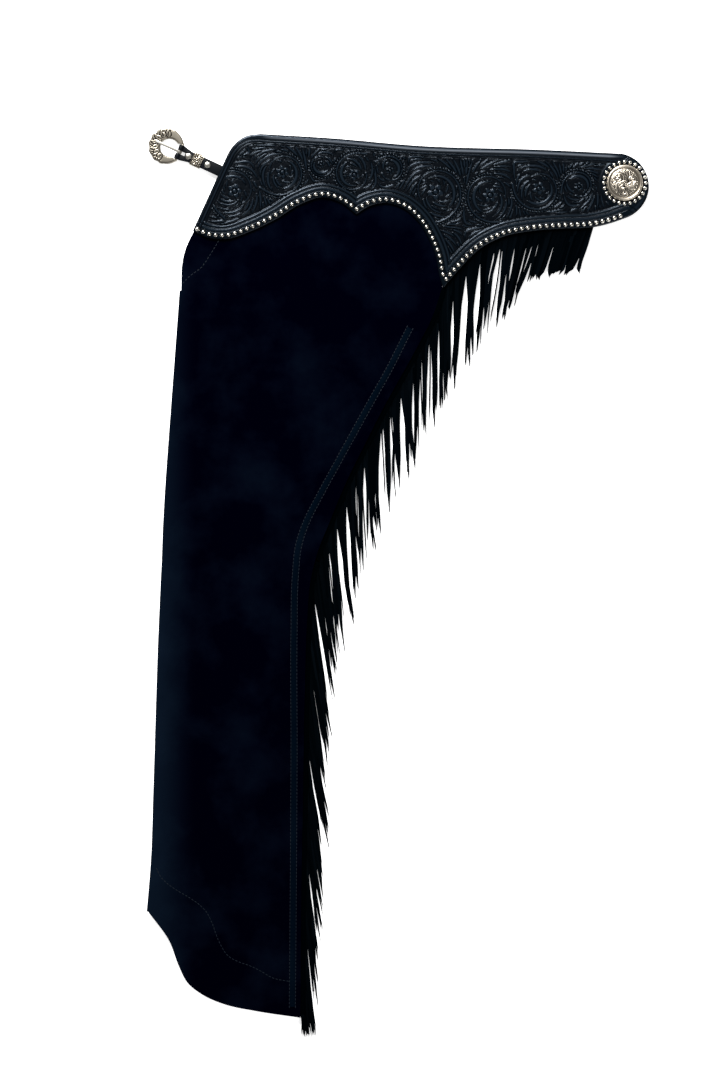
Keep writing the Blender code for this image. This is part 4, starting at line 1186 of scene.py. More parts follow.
@dataclass
class LegPattern:
    """Outline of a leg lying flat, and its soft folds."""

    shift: Points
    front_fold: list = field(default_factory=lambda: [
        (-0.2545, 0.340), (-0.257, 0.305), (-0.264, 0.212), (-0.273, 0.083), (-0.277, -0.011),
        (-0.281, -0.116), (-0.285, -0.245), (-0.288, -0.330), (-0.293, -0.387)])
    hem: list = field(default_factory=lambda: [
        (-0.293, -0.387), (-0.268, -0.422), (-0.257, -0.450), (-0.246, -0.470), (-0.228, -0.484),
        (-0.201, -0.4955), (-0.166, -0.503), (-0.113, -0.511)])
    back_edge: list = field(default_factory=lambda: [
        (0.053, 0.344), (0.041, 0.308), (0.027, 0.280), (0.009, 0.247), (-0.014, 0.206),
        (-0.037, 0.161), (-0.061, 0.112), (-0.078, 0.071), (-0.092, 0.036), (-0.101, 0.001),
        (-0.105, -0.046), (-0.108, -0.139), (-0.110, -0.256), (-0.112, -0.373), (-0.113, -0.511)])
    outer_top: list = field(default_factory=lambda: [
        (-0.2545, 0.340), (-0.253, 0.374), (-0.250, 0.387), (-0.2405, 0.407), (-0.228, 0.426),
        (-0.205, 0.434), (-0.150, 0.450), (-0.095, 0.476), (-0.050, 0.468), (-0.010, 0.468),
        (0.030, 0.445), (0.046, 0.405), (0.050, 0.372), (0.053, 0.344)])
    inner_top: list = field(default_factory=lambda: [
        (-0.2545, 0.340), (-0.200, 0.322), (-0.120, 0.296), (-0.050, 0.270), (0.010, 0.250)])
    # Soft folds of the near leg: upper end x, y, lower end x, y, height, half width
    folds: list = field(default_factory=lambda: [
        (-0.120, 0.330, -0.150, 0.080, 0.0014, 0.045), (-0.145, 0.070, -0.165, -0.190, 0.0026, 0.040),
        (-0.225, 0.300, -0.250, -0.060, 0.0014, 0.024), (-0.205, -0.260, -0.190, -0.440, 0.0018, 0.044),
        (-0.030, 0.290, -0.085, 0.130, 0.0010, 0.035), (-0.180, 0.250, -0.100, 0.190, 0.0010, 0.020),
        (-0.262, -0.080, -0.272, -0.330, 0.0016, 0.016), (-0.240, 0.020, -0.150, 0.000, -0.0007, 0.016),
        (-0.185, -0.186, -0.120, -0.178, -0.0009, 0.011), (-0.150, -0.270, -0.135, -0.450, 0.0010, 0.020)])
    fold_fade: float = 0.060

    def fold_height(self, points: Points) -> Points:
        """Height that the soft folds add."""
        height = np.zeros(len(points))
        for x1, y1, x2, y2, rise, half_width in self.folds:
            start, span = np.array([x1, y1]) + self.shift, np.array([x2 - x1, y2 - y1])
            along = ((points - start) @ span) / (span @ span)
            length = np.linalg.norm(span)
            beyond = np.maximum(np.maximum(-along, along - 1.0) * length, 0.0)
            across = ((points - start) @ np.array([span[1], -span[0]])) / length
            height += rise * np.exp(-(across / half_width) ** 2) * np.exp(-(beyond / self.fold_fade) ** 2)
        return height


@dataclass
class LegPanel:
    """One leg: a suede panel turned round its front fold, outer layer to inner layer."""

    pattern: LegPattern
    yoke: YokePattern
    face: Face
    thickness: float = 0.0015
    rows: int = 190
    outer_columns: int = 72
    turn_columns: int = 8
    inner_columns: int = 24
    outer_z: float = 0.0
    outer_yoke_z: float = 0.0
    inner_z: float = 0.0
    inset: float = 0.0
    # Along the hem and the tops, the fold's inset fades out between these distances from it
    inset_fade: tuple[float, float] = (0.036, 0.150)
    # The top meets the fold in nearly one line, so the rows there are eased inwards and none cross: by up
    # to this far, fully from the first of these rows and fading over the second, and over these columns
    ease: float = 0.0015
    ease_rows: tuple[int, int] = (5, 120)
    ease_columns: int = 40
    # The leg comes out from under the yoke between these distances from it
    yoke_ramp: tuple[float, float] = (0.018, 0.060)

    @property
    def columns(self) -> int:
        """Faces across the sheet."""
        return self.outer_columns + self.turn_columns + self.inner_columns

    def sheet_places(self, u: Points, v: Points) -> Points:
        """Places of the panel's outward side: u from the outer layer's back edge to the inner's."""
        shift = self.pattern.shift
        side = self.face.value
        turn_radius = (abs(self.outer_z - self.inner_z) + self.thickness) / 2
        inset = np.array([self.inset + turn_radius, 0.0])
        rows = np.round(v * self.rows).astype(int)
        column = np.round(u * self.columns).astype(int)
        fold = smooth_curve(self.pattern.front_fold) + inset + shift
        back = smooth_curve(self.pattern.back_edge) + shift
        hem, outer_top, inner_top = (smooth_curve(run) + shift for run in (
            self.pattern.hem, self.pattern.outer_top, self.pattern.inner_top))
        for curve in (hem, outer_top, inner_top):
            curve += inset * (1.0 - smooth_step(distances_passed(curve), *self.inset_fade))[:, None]
        back_inner = np.vstack([inner_top[-1:], back[back[:, 1] < inner_top[-1, 1]]])
        outer = self.coons(outer_top, hem, fold, back, self.outer_columns)
        inner = self.coons(inner_top, hem, fold, back_inner, self.inner_columns)
        down, along = np.arange(self.rows + 1)[:, None], np.arange(self.outer_columns + 1)[None]
        full, fading = self.ease_rows
        eased = (np.minimum(down / full, 1.0) * np.clip(1 - (down - full) / fading, 0, 1)
                 * np.clip(1 - (along - 1) / self.ease_columns, 0, 1))
        outer[..., 0] += self.ease * eased * (along > 0)
        outer_face = self.outer_height(outer.reshape(-1, 2)).reshape(outer.shape[:2])
        inner_face = self.inner_z + (0.0 if self.face is Face.NEAR else self.thickness)
        turned = self.outer_columns + self.turn_columns
        places = np.zeros((self.rows + 1, self.columns + 1, 3))
        places[:, :self.outer_columns + 1] = np.dstack([outer, outer_face])[:, ::-1]
        places[:, turned:, :2], places[:, turned:, 2] = inner, inner_face
        middle = (outer_face[:, 0] + inner_face) / 2
        radius = np.abs(outer_face[:, 0] - middle)
        for step in range(1, self.turn_columns):
            share = step / self.turn_columns
            angle = math.pi / 2 - math.pi * share
            xy = outer[:, 0] * (1 - share) + inner[:, 0] * share
            places[:, self.outer_columns + step] = np.column_stack([
                xy[:, 0] - radius * math.cos(angle), xy[:, 1], middle + side * radius * math.sin(angle)])
        return places[rows, column]

    def outer_height(self, flat: Points) -> Points:
        """Height of the outer side over points of the table: low under the yoke, with soft folds clear of it."""
        outline = np.vstack(list(self.yoke.sides().values()))
        gap = np.abs(along_and_across(flat, outline)[1])
        gap[inside(flat, outline)] = 0.0
        clear = smooth_step(gap, *self.yoke_ramp)
        rise = self.outer_z - self.outer_yoke_z
        if self.face is Face.NEAR:
            return self.outer_yoke_z + (rise + self.pattern.fold_height(flat)) * clear + self.thickness
        return self.outer_yoke_z + rise * clear

    def coons(self, top: Points, bottom: Points, left: Points, right: Points, columns: int) -> Points:
        """A grid of points that fills four boundary curves; the top and the bottom bend it near themselves."""
        top, bottom = resample(top, columns + 1), resample(bottom, columns + 1)
        left, right = resample(left, self.rows + 1), resample(right, self.rows + 1)
        u = np.linspace(0.0, 1.0, columns + 1)[None, :, None]
        v = np.linspace(0.0, 1.0, self.rows + 1)[:, None, None]
        straight = (1 - u) * left[:, None] + u * right[:, None]
        top_bend = top[None] - ((1 - u) * top[0] + u * top[-1])
        bottom_bend = bottom[None] - ((1 - u) * bottom[0] + u * bottom[-1])
        return straight + (1 - v) ** 4 * top_bend + v**4 * bottom_bend

    def build(self, material: bpy.types.Material) -> bpy.types.Object:
        """Make the leg.

        Args:
            material: Its finish.

        Returns:
            The leg.
        """
        name = f"leg_{self.face.name.lower()}"
        leg = new_grid(f"{name}_suede", self.columns, self.rows, self.sheet_places)
        if self.face is Face.FAR:
            edit(leg, FLIPPED)
        thicken(leg, self.thickness)
        return dress(leg, 60.0, material, "suede", "chaps", name)


# Sewing

def stitches(name: str, rows: list[Points], pitch: float, length: float, width: float,
             material: bpy.types.Material, node_slot: str) -> bpy.types.Object:
    """Rows of short thread stitches, each one bead of thread pulled long.

    Args:
        name: The piece's name.
        rows: Lines of points that the stitches follow, with their heights.
        pitch: Their spacing.
        length: Length of one.
        width: Width of one.
        material: The thread.
        node_slot: The record's slot of the leather that it sews, handed on to dress, which doesn't use it.

    Returns:
        The stitches as one piece.
    """
    bead = add_primitive("uv_sphere", segments=6, ring_count=4, radius=0.5)
    shape = get_coordinates(bead)[:, [2, 0, 1]] * (length, width, 0.6 * width)
    placed = []
    for row in rows:
        spots = resample(row, max(2, round(path_length(row) / pitch)))
        ways = np.gradient(spots[:, :2], axis=0)
        ways /= np.linalg.norm(ways, axis=1, keepdims=True)
        for spot, way in zip(spots, ways):
            flat = shape[:, :1] * way + shape[:, 1:2] * (-way[1], way[0])
            placed.append(np.column_stack([flat, shape[:, 2]]) + spot)
    thread = copies_of(name, bead, placed)
    return dress(thread, 60.0, material, node_slot, "chaps")


@dataclass
class LegSeams:
    """The near leg's seams: a double one beside the back edge, and single ones round two patches."""

    leg: LegPanel
    back: list = field(default_factory=lambda: [
        (0.015, 0.296), (0.004, 0.274), (-0.008, 0.250), (-0.028, 0.214), (-0.055, 0.165), (-0.073, 0.132),
        (-0.092, 0.097), (-0.106, 0.069), (-0.1145, 0.044), (-0.119, 0.005), (-0.1205, -0.060),
        (-0.1205, -0.200), (-0.1215, -0.370), (-0.1225, -0.498)])
    singles: list = field(default_factory=lambda: [
        [(-0.207, 0.401), (-0.218, 0.383), (-0.230, 0.366), (-0.242, 0.357), (-0.250, 0.349)],
        [(-0.281, -0.337), (-0.277, -0.345), (-0.266, -0.356), (-0.254, -0.364), (-0.242, -0.371),
         (-0.232, -0.378), (-0.223, -0.387), (-0.216, -0.401), (-0.211, -0.415), (-0.205, -0.428),
         (-0.198, -0.438), (-0.186, -0.445), (-0.172, -0.450), (-0.158, -0.457), (-0.146, -0.464),
         (-0.128, -0.468)]])
    half_band: float = 0.0031
    band_rise: float = 0.0006
    pitch: float = 0.0042
    stitch: tuple[float, float] = (0.0032, 0.0009)
    stations: int = 240

    def on_leg(self, flat: Points, lift: float) -> Points:
        """Points of the table raised onto the leg."""
        return np.column_stack([flat, self.leg.outer_height(flat) + lift])

    def build(self, suede: bpy.types.Material, thread: bpy.types.Material) -> list[bpy.types.Object]:
        """Make the felled band and all the rows of thread.

        Args:
            suede: The band's finish.
            thread: The thread's.

        Returns:
            The pieces.
        """
        middle = resample(smooth_curve(self.back) + self.leg.pattern.shift, self.stations)
        normals = left_normals(middle)

        def place(u: Points, v: Points) -> Points:
            row = np.round(v * (self.stations - 1)).astype(int)
            off = 2 * u - 1
            flat = middle[row] + normals[row] * (off * self.half_band)[:, None]
            return self.on_leg(flat, 0.0) + np.column_stack([0 * off, 0 * off, self.band_rise * (1 - off**4)])

        band = new_grid("leg_near_back_seam", 6, self.stations - 1, place)
        face_up(band)
        thicken(band, self.band_rise)
        dress(band, 60.0, suede, "suede", "chaps")
        rows = [self.on_leg(middle + normals * side * (self.half_band + 0.0005), 0.0001) for side in (1.0, -1.0)]
        for single in self.singles:
            rows.append(self.on_leg(resample(smooth_curve(single) + self.leg.pattern.shift, 60), 0.0001))
        return [band, stitches("leg_near_stitches", rows, self.pitch, *self.stitch, thread, "suede")]


@dataclass
class TopSeam:
    """The fine seam along the yoke's rolled top edge."""

    yoke: YokePattern
    from_edge: float = 0.0012
    height: float = 0.0098
    pitch: float = 0.0025
    stitch: tuple[float, float] = (0.0017, 0.0008)

    def build(self, thread: bpy.types.Material) -> bpy.types.Object:
        """Sew it.

        Args:
            thread: The thread's finish.

        Returns:
            The stitches.
        """
        edge = self.yoke.sides()["top"]
        row = edge + left_normals(edge) * self.from_edge
        return stitches("yoke_top_stitches", [np.column_stack([row, np.full(len(row), self.height)])], self.pitch,
                        *self.stitch, thread, "tooled_leather")


# The fringe

@dataclass
class FringeBand:
    """One stretch of fringe: a strip sewn along an edge, cut into strands that lie in loose bunches."""

    node: str
    edge: Points
    inner: float
    outer: float
    # Root station, lean in degrees from straight down towards +X, length, how far bunches gather, and how
    # far the strands still touch
    table: list
    axis: int
    span: tuple[float, float]
    width: float
    step: float
    bunch: float
    backing_z: float
    rest_z: float
    shorter: float = 0.0
    seed: int = 1
    rows: int = 10
    thickness: float = 0.0012
    drop: float = 0.014
    thin_share: float = 0.16
    lowest_tip_y: float = -0.5305

    def build(self, material: bpy.types.Material) -> bpy.types.Object:
        """Make the strip and its strands.

        Args:
            material: Their finish.

        Returns:
            The fringe as one piece.
        """
        chance = np.random.default_rng(self.seed)
        normals = left_normals(self.edge)
        outer_line = self.edge + normals * self.outer
        inner_line = self.edge + normals * self.inner
        lengths = distances_passed(outer_line)
        begin, end = np.interp(self.span, outer_line[::-1, self.axis], lengths[::-1])
        table = np.array(sorted(self.table))

        def at(line: Points, station: float) -> Points:
            return np.array([np.interp(station, lengths, column) for column in line.T])

        template = new_grid("strand", 1, self.rows, lambda u, v: np.column_stack([u, v, np.zeros(len(u))]))
        thicken(template, 1.0)
        shape = get_coordinates(template)
        placed, tones = [], []
        station = begin
        while station < end:
            # A bunch gathers the strands of one stretch of the strip towards its own middle line
            bunch_end = min(station + self.bunch * chance.uniform(0.75, 1.3), end)
            heart = at(outer_line, (station + bunch_end) / 2)
            sway = chance.normal(0.0, 0.8)
            while station < bunch_end:
                root = at(outer_line, station)
                degrees, length, gather, touch = (np.interp(root[self.axis], table[:, 0], column)
                                                  for column in table.T[1:])
                lean = math.radians(degrees + sway + chance.normal(0.0, 0.5))
                length = (length - self.shorter) * (1.02 - 0.34 * chance.beta(1.1, 2.4) * (1.0 - 0.85 * touch))
                length = max(0.02, min(length, root[1] - self.lowest_tip_y))
                thin = chance.random() < self.thin_share
                inwards = (heart - root) @ on_circle(lean) * (gather * (0.2 if thin else 1.0))
                width = self.width * (0.4 if thin else chance.uniform(0.75, 1.05))
                width += touch * (1.2 * self.width - width)
                placed.append(self.strand(shape, root, at(inner_line, station), lean, length, inwards, width,
                                          1.0 - touch, chance))
                tones.append(chance.beta(1.6, 3.0))
                station += self.step
        fringe = copies_of(f"{self.node}_cut", template, placed, {"strand_tone": tones})
        join(fringe, self.strip(inner_line, outer_line, lengths, begin, end))
        return dress(fringe, 45.0, material, "suede", "chaps", self.node)

    def strip(self, inner_line: Points, outer_line: Points, lengths: Points, begin: float,
              end: float) -> bpy.types.Object:
        """The strip that the strands are cut from, sewn behind the edge.

        Args:
            inner_line: Its edge under the leg or the yoke.
            outer_line: Its edge at the strands' roots.
            lengths: Distance passed at each point of the lines.
            begin: Where it starts.
            end: Where it ends.

        Returns:
            The strip.
        """
        def place(u: Points, v: Points) -> Points:
            station = begin + v * (end - begin)
            inner, outer = (np.column_stack([np.interp(station, lengths, column) for column in line.T])
                            for line in (inner_line, outer_line))
            flat = inner + (outer - inner) * u[:, None]
            return np.column_stack([flat, np.full(len(u), self.backing_z + self.thickness)])

        strip = new_grid("strip", 2, 90, place)
        face_up(strip)
        thicken(strip, self.thickness)
        return strip

    def strand(self, shape: Points, root: Points, back: Points, lean: float, length: float,
               inwards: float, width: float, loose: float, chance: np.random.Generator) -> Points:
        """Where one strand lies.

        Args:
            shape: The template, with its width, length and thickness each from 0 to 1.
            root: Where it leaves the strip.
            back: Its inner end, under the edge.
            lean: Its lean in radians.
            length: Its length.
            inwards: How far it is drawn to its bunch, to its right.
            width: Its width.
            loose: 1 where it lies free of its neighbours, 0 where they touch.
            chance: The band's random numbers.

        Returns:
            The places of its vertices.
        """
        across, share = shape[:, 0] - 0.5, shape[:, 1]
        side = on_circle(lean)
        way = np.array([side[1], -side[0]])
        root = root + 0.5 * (back - root)
        run = share * length
        # It bows and sways a little, and its end is cut aslant
        bow = chance.normal(0.0, 0.0022) * share**2
        sway = chance.normal(0.0, 0.0007) * np.sin(share * math.pi * chance.uniform(1.4, 2.6) + chance.uniform(0, 6))
        drawn = inwards * smooth_step(share, 0.0, 0.55)
        slant = across * chance.uniform(-0.012, 0.012) * smooth_step(share, 0.8, 1.0)
        taper = 1.0 - 0.12 * share - 0.62 * loose * smooth_step(share, 0.78, 1.0)
        # Near the strip the cuts between strands are closed
        width = (width + (1.25 * self.width - width) * (1.0 - smooth_step(run, 0.004, 0.024))) * taper
        flat = root + np.outer(run + slant, way) + np.outer(across * width + bow + sway * share + drawn, side)
        # From the strip it comes down to where it lies, over or under its neighbours
        settle = smooth_step(run, 0.0, self.drop)
        rest = self.rest_z + chance.uniform(0.0, 0.0012)
        curl = chance.normal(0.0, 0.00035) * np.sin(share * math.pi * 2.0)
        twist = across * width * chance.normal(0.0, 0.10) * smooth_step(share, 0.1, 0.8)
        z = self.backing_z * (1 - settle) + (rest + curl + np.abs(twist)) * settle
        return np.column_stack([flat, np.maximum(z, 0.0004) + (shape[:, 2] + 1.0) * self.thickness])


@dataclass
class Fringes:
    """All the fringe: under the yoke's back arm, down the thigh and down the calf, on both legs."""

    yoke: YokePattern
    leg: LegPattern
    # The rows of FringeBand.table, with the station on the part's own table
    leg_rows: list = field(default_factory=lambda: [
        (0.344, 0.0, 0.138, 0.45, 0.1), (0.280, 1.0, 0.125, 0.55, 0.0), (0.206, 1.0, 0.122, 0.60, 0.0),
        (0.112, 3.0, 0.135, 0.55, 0.0), (0.060, 7.0, 0.142, 0.45, 0.0), (0.032, 8.1, 0.144, 0.35, 0.0),
        (0.001, 8.6, 0.145, 0.25, 0.0), (-0.080, 9.3, 0.138, 0.2, 0.0), (-0.256, 8.0, 0.130, 0.2, 0.0),
        (-0.373, 6.5, 0.130, 0.2, 0.0), (-0.511, 5.0, 0.120, 0.2, 0.0)])
    seat_rows: list = field(default_factory=lambda: [
        (0.228, -19.0, 0.055, 0.0, 1.0), (0.193, -16.0, 0.057, 0.03, 0.9), (0.172, -14.0, 0.066, 0.1, 0.5),
        (0.156, -12.5, 0.095, 0.35, 0.2), (0.125, -8.0, 0.118, 0.45, 0.0), (0.097, -5.0, 0.125, 0.5, 0.0),
        (0.076, -1.5, 0.136, 0.5, 0.0), (0.060, 0.0, 0.140, 0.5, 0.1)])
    # Inner and outer edge of the strip, from the yoke's edge and from the leg's
    seat_strip: tuple[float, float] = (-0.005, 0.0015)
    leg_strip: tuple[float, float] = (-0.0015, 0.0052)
    # Underside of the strip on the near and the far leg
    seat_z: tuple[float, float] = (0.0055, 0.0033)
    leg_z: tuple[float, float] = (0.0053, 0.0013)
    # Where the strands come to lie on the near and the far leg, and how much shorter they are
    rest_z: tuple[float, float] = (0.0028, 0.0005)
    shorter: tuple[float, float] = (0.0, 0.006)
    # One seed for both legs, so that the far fringe lies behind the near one's bunches
    seed: int = 11

    def build(self, material: bpy.types.Material) -> dict[str, list]:
        """Make the six bands.

        Args:
            material: Their finish.

        Returns:
            The bands of the near and of the far leg.
        """
        shift = self.leg.shift
        leg_edge = smooth_curve(self.leg.back_edge) + shift
        arm_edge = smooth_curve(self.yoke.lower_back)[::-1] + shift
        bands = {"near": [], "far": []}
        # Region, edge, strip, rows, axis of their stations, span, width, step and bunch, undersides
        for region, edge, strip, rows, axis, span, cut, z in (
                ("seat", arm_edge, self.seat_strip, self.seat_rows, 0, (0.2282, 0.0565), (0.0044, 0.0037, 0.020),
                 self.seat_z),
                ("thigh", leg_edge, self.leg_strip, self.leg_rows, 1, (0.343, 0.022), (0.0041, 0.0044, 0.0225),
                 self.leg_z),
                ("calf", leg_edge, self.leg_strip, self.leg_rows, 1, (0.024, -0.507), (0.0036, 0.0044, 0.034),
                 self.leg_z)):
            table = [(station + shift[axis], *rest) for station, *rest in rows]
            where = tuple(value + shift[axis] for value in span)
            for side, backing_z, rest_z, shorter in zip(bands, z, self.rest_z, self.shorter):
                bands[side].append(FringeBand(
                    f"fringe_{region}_{side}", edge, *strip, table, axis, where, *cut, backing_z, rest_z, shorter,
                    self.seed).build(material))
        return bands


# Metal

@dataclass
class Placing:
    """Where a flat-drawn fitting sits: turned about the strap and tipped a little, then moved."""

    origin: tuple[float, float, float]
    turn_deg: float = 0.0
    tip_deg: float = 0.0

    def apply(self, places: Points) -> Points:
        """Move points drawn round the origin to their place."""
        tip, turn = math.radians(self.tip_deg), math.radians(self.turn_deg)
        x = places[:, 0] * math.cos(tip) + places[:, 2] * math.sin(tip)
        z = -places[:, 0] * math.sin(tip) + places[:, 2] * math.cos(tip)
        y = places[:, 1]
        return np.column_stack([x * math.cos(turn) - y * math.sin(turn),
                                x * math.sin(turn) + y * math.cos(turn), z]) + self.origin


def engraved(points_mm: Points, cut: Callable[[Carving], None], scale: float, line_mm: float = 0.6) -> Points:
    """Heights of an engraving in mm.

    Args:
        points_mm: The points, in mm.
        cut: Cuts the design into a relief.
        scale: Its depth against the leather carving's.
        line_mm: Width of the cuts.

    Returns:
        The heights.
    """
    relief = Carving(points_mm, -0.10, -0.95, line_mm)
    cut(relief)
    return relief.heights * scale


@dataclass
class Concho:
    """The round silver concho: a low engraved dome inside a groove and a plain raised rim."""

    centre: Points
    base: float = 0.0103
    # Radius and height, from the middle out
    profile: list = field(default_factory=lambda: [
        (0.0, 0.0031), (0.006, 0.0030), (0.011, 0.0026), (0.0150, 0.0021), (0.0166, 0.0016), (0.0172, 0.0016),
        (0.0180, 0.0028), (0.0190, 0.0032), (0.0202, 0.0029), (0.0211, 0.0018), (0.0214, 0.0005)])
    engraved_radius: float = 0.0163
    engraved_depth: float = 0.62
    # The groove round the engraving: its radius, half width and depth in mm
    groove: tuple[float, float, float] = (0.0169, 0.0004, 0.30)
    rim_radius: float = 0.0212

    def design(self, relief: Carving) -> None:
        """Three scrolls that turn round the middle, with leaves outside and between them."""
        for turn in np.arange(3) * 2 * math.pi / 3 + 0.4:
            out = on_circle(turn)
            for spread, length in ((-1.2, 10.0), (-0.8, 12.5), (-0.4, 13.5), (0.0, 14.0), (0.4, 14.0),
                                   (0.8, 13.5), (1.2, 12.0), (1.6, 10.0)):
                relief.leaf(arc_course(out * 3.2, turn + spread, length, 1.2), 1.2)
            shares = np.linspace(0.0, 1.0, 40)
            angles = turn + math.pi + 2 * math.pi * 1.5 * shares
            spiral = out * 9.0 + on_circle(angles) * (6.4 - 5.2 * shares)[:, None]
            relief.stem(spiral, 0.85, 0.55)
            for spread in np.arange(0.35, 2.0, 0.24):
                relief.seed(on_circle(turn + spread) * 14.9, 0.65)
        relief.flower(np.zeros(2), 3.4, 6, 0.2)

    def build(self, material: bpy.types.Material) -> bpy.types.Object:
        """Make the concho.

        Args:
            material: Its finish.

        Returns:
            The concho.
        """
        radii, heights = np.array(self.profile).T

        def place(u: Points, v: Points) -> Points:
            radius = v * radii[-1]
            return np.column_stack([radius[:, None] * on_circle(2 * math.pi * u), np.interp(radius, radii, heights)])

        concho = new_grid("concho_engraved", 200, 56, place)
        edit(concho, MERGED)
        places = get_coordinates(concho)
        radius = np.hypot(places[:, 0], places[:, 1])
        share = 1.0 - smooth_step(radius, self.engraved_radius - 0.0005, self.engraved_radius)
        depth = engraved(places[:, :2] / MM, self.design, self.engraved_depth) * share
        middle, half, deep = self.groove
        depth -= deep * np.exp(-((radius - middle) / half) ** 2)
        places[:, 2] += np.where(radius < self.rim_radius, depth * 0.5 * MM, 0.0)
        set_attribute(concho, "depth_mm", depth)
        set_coordinates(concho, places + (*self.centre, self.base))
        edit(concho, MERGED, FILLED, OUTWARDS)
        return dress(concho, 45.0, material, "silver", "chaps", "concho")


@dataclass
class BuckleFrame:
    """The buckle's frame: an engraved ring, scalloped away from the strap, open round its bar."""

    placing: Placing
    centre_x: float = -0.0165
    radius: float = 0.0205
    scallop: float = 0.055
    scallops: int = 13
    ornate: tuple[float, float] = (-0.6, 0.2)
    eye: tuple[float, float, float] = (-0.0125, 0.0112, 0.0104)
    notch_x: float = -0.0040
    notch_half: float = 0.0093
    thickness: float = 0.0036
    bar_radius: float = 0.0014
    bar_half: float = 0.0115
    # The groove inside the rim: its distance from the edge, half width and depth in mm
    groove: tuple[float, float, float] = (0.0014, 0.0003, 0.28)

    def outer_radius(self, turn: Points) -> Points:
        """Radius of the outline at an angle."""
        wave = 0.5 + 0.5 * np.cos(self.scallops * turn)
        return self.radius * (1.0 + self.scallop * wave * smooth_step(-np.cos(turn), *self.ornate))

    def inner_radius(self, turn: Points) -> Points:
        """Distance at an angle to the edge of the eye, or of the notch that the strap's loop fills."""
        middle, half_length, half_width = self.eye
        offset = self.centre_x - middle
        a = (np.cos(turn) / half_length) ** 2 + (np.sin(turn) / half_width) ** 2
        b = 2 * offset * np.cos(turn) / half_length**2
        c = (offset / half_length) ** 2 - 1
        ellipse = (-b + np.sqrt(b * b - 4 * a * c)) / (2 * a)
        corner = math.atan2(self.notch_half, self.notch_x - self.centre_x)
        folded = np.abs((turn + math.pi) % (2 * math.pi) - math.pi)
        notch = self.notch_half / np.maximum(np.sin(folded), 0.2)
        return np.where(folded < corner, np.maximum(notch, ellipse), ellipse)

    def design(self, relief: Carving) -> None:
        """Leaves that follow the ring away from the strap, with seeds between them; its sides stay plain."""
        for turn in np.radians(np.arange(100, 262, 26.0)):
            middle = (self.outer_radius(turn) * 0.965 + self.inner_radius(turn)) / 2 / MM
            out = on_circle(turn)
            base = out * (middle - 3.2) + (self.centre_x / MM, 0.0)
            relief.leaf(arc_course(base, turn + 0.9, 10.0, -1.5), 2.0, True)
            relief.leaf(arc_course(base, turn - 0.4, 6.5, 1.3), 1.5)
            relief.seed(out * (self.outer_radius(turn + 0.18) / MM - 2.2) + (self.centre_x / MM, 0.0), 0.7)

    def build(self, material: bpy.types.Material) -> bpy.types.Object:
        """Make the frame and its bar.

        Args:
            material: Its finish.

        Returns:
            The frame.
        """
        start = math.atan2(self.notch_half, math.sqrt(self.radius**2 - self.notch_half**2))

        def place(u: Points, v: Points) -> Points:
            turn = start + u * (2 * math.pi - 2 * start)
            low, high = self.inner_radius(turn), self.outer_radius(turn)
            radius = low + v * (high - low)
            return np.column_stack([self.centre_x + radius * np.cos(turn), radius * np.sin(turn),
                                    np.full(len(u), self.thickness / 2)])

        frame = new_grid("buckle_frame_engraved", 300, 30, place)
        places = get_coordinates(frame)
        spot = places[:, :2] - (self.centre_x, 0.0)
        turn = np.arctan2(spot[:, 1], spot[:, 0]) % (2 * math.pi)
        radius = np.hypot(spot[:, 0], spot[:, 1])
        low, high = self.inner_radius(turn), self.outer_radius(turn)
        rim = np.minimum(radius - low, high - radius)
        crown = -0.9 * (1 - smooth_step(rim, 0.0, 0.0014)) ** 2 - 0.35 * ((radius - low) / (high - low) - 0.5) ** 2
        field_share = smooth_step(rim, 0.0013, 0.0017)
        depth = engraved(places[:, :2] / MM, self.design, 0.7, 1.0) * field_share
        middle, half, deep = self.groove
        depth -= deep * np.exp(-((rim - middle) / half) ** 2)
        places[:, 2] += (crown + 0.32 * depth) * MM
        set_attribute(frame, "depth_mm", depth)
        set_coordinates(frame, places)
        drop_rim(frame, -self.thickness / 2)
        # The back is a strip of its own, because one face round the open eye would close it
        back = new_grid("buckle_back", 300, 1, lambda u, v: place(u, v) * (1.0, 1.0, -1.0))
        bar = add_primitive("cylinder", vertices=20, radius=self.bar_radius, depth=2 * self.bar_half,
                            rotation=(math.pi / 2, 0.0, 0.0))
        bpy.ops.object.transform_apply(location=True, rotation=True, scale=True)
        apply_modifier(bar, "BEVEL", width=0.0003, segments=2, limit_method="ANGLE")
        join(frame, back, bar)
        edit(frame, MERGED, OUTWARDS)
        set_coordinates(frame, self.placing.apply(get_coordinates(frame)))
        return dress(frame, 45.0, material, "silver", "buckle", "buckle_frame")


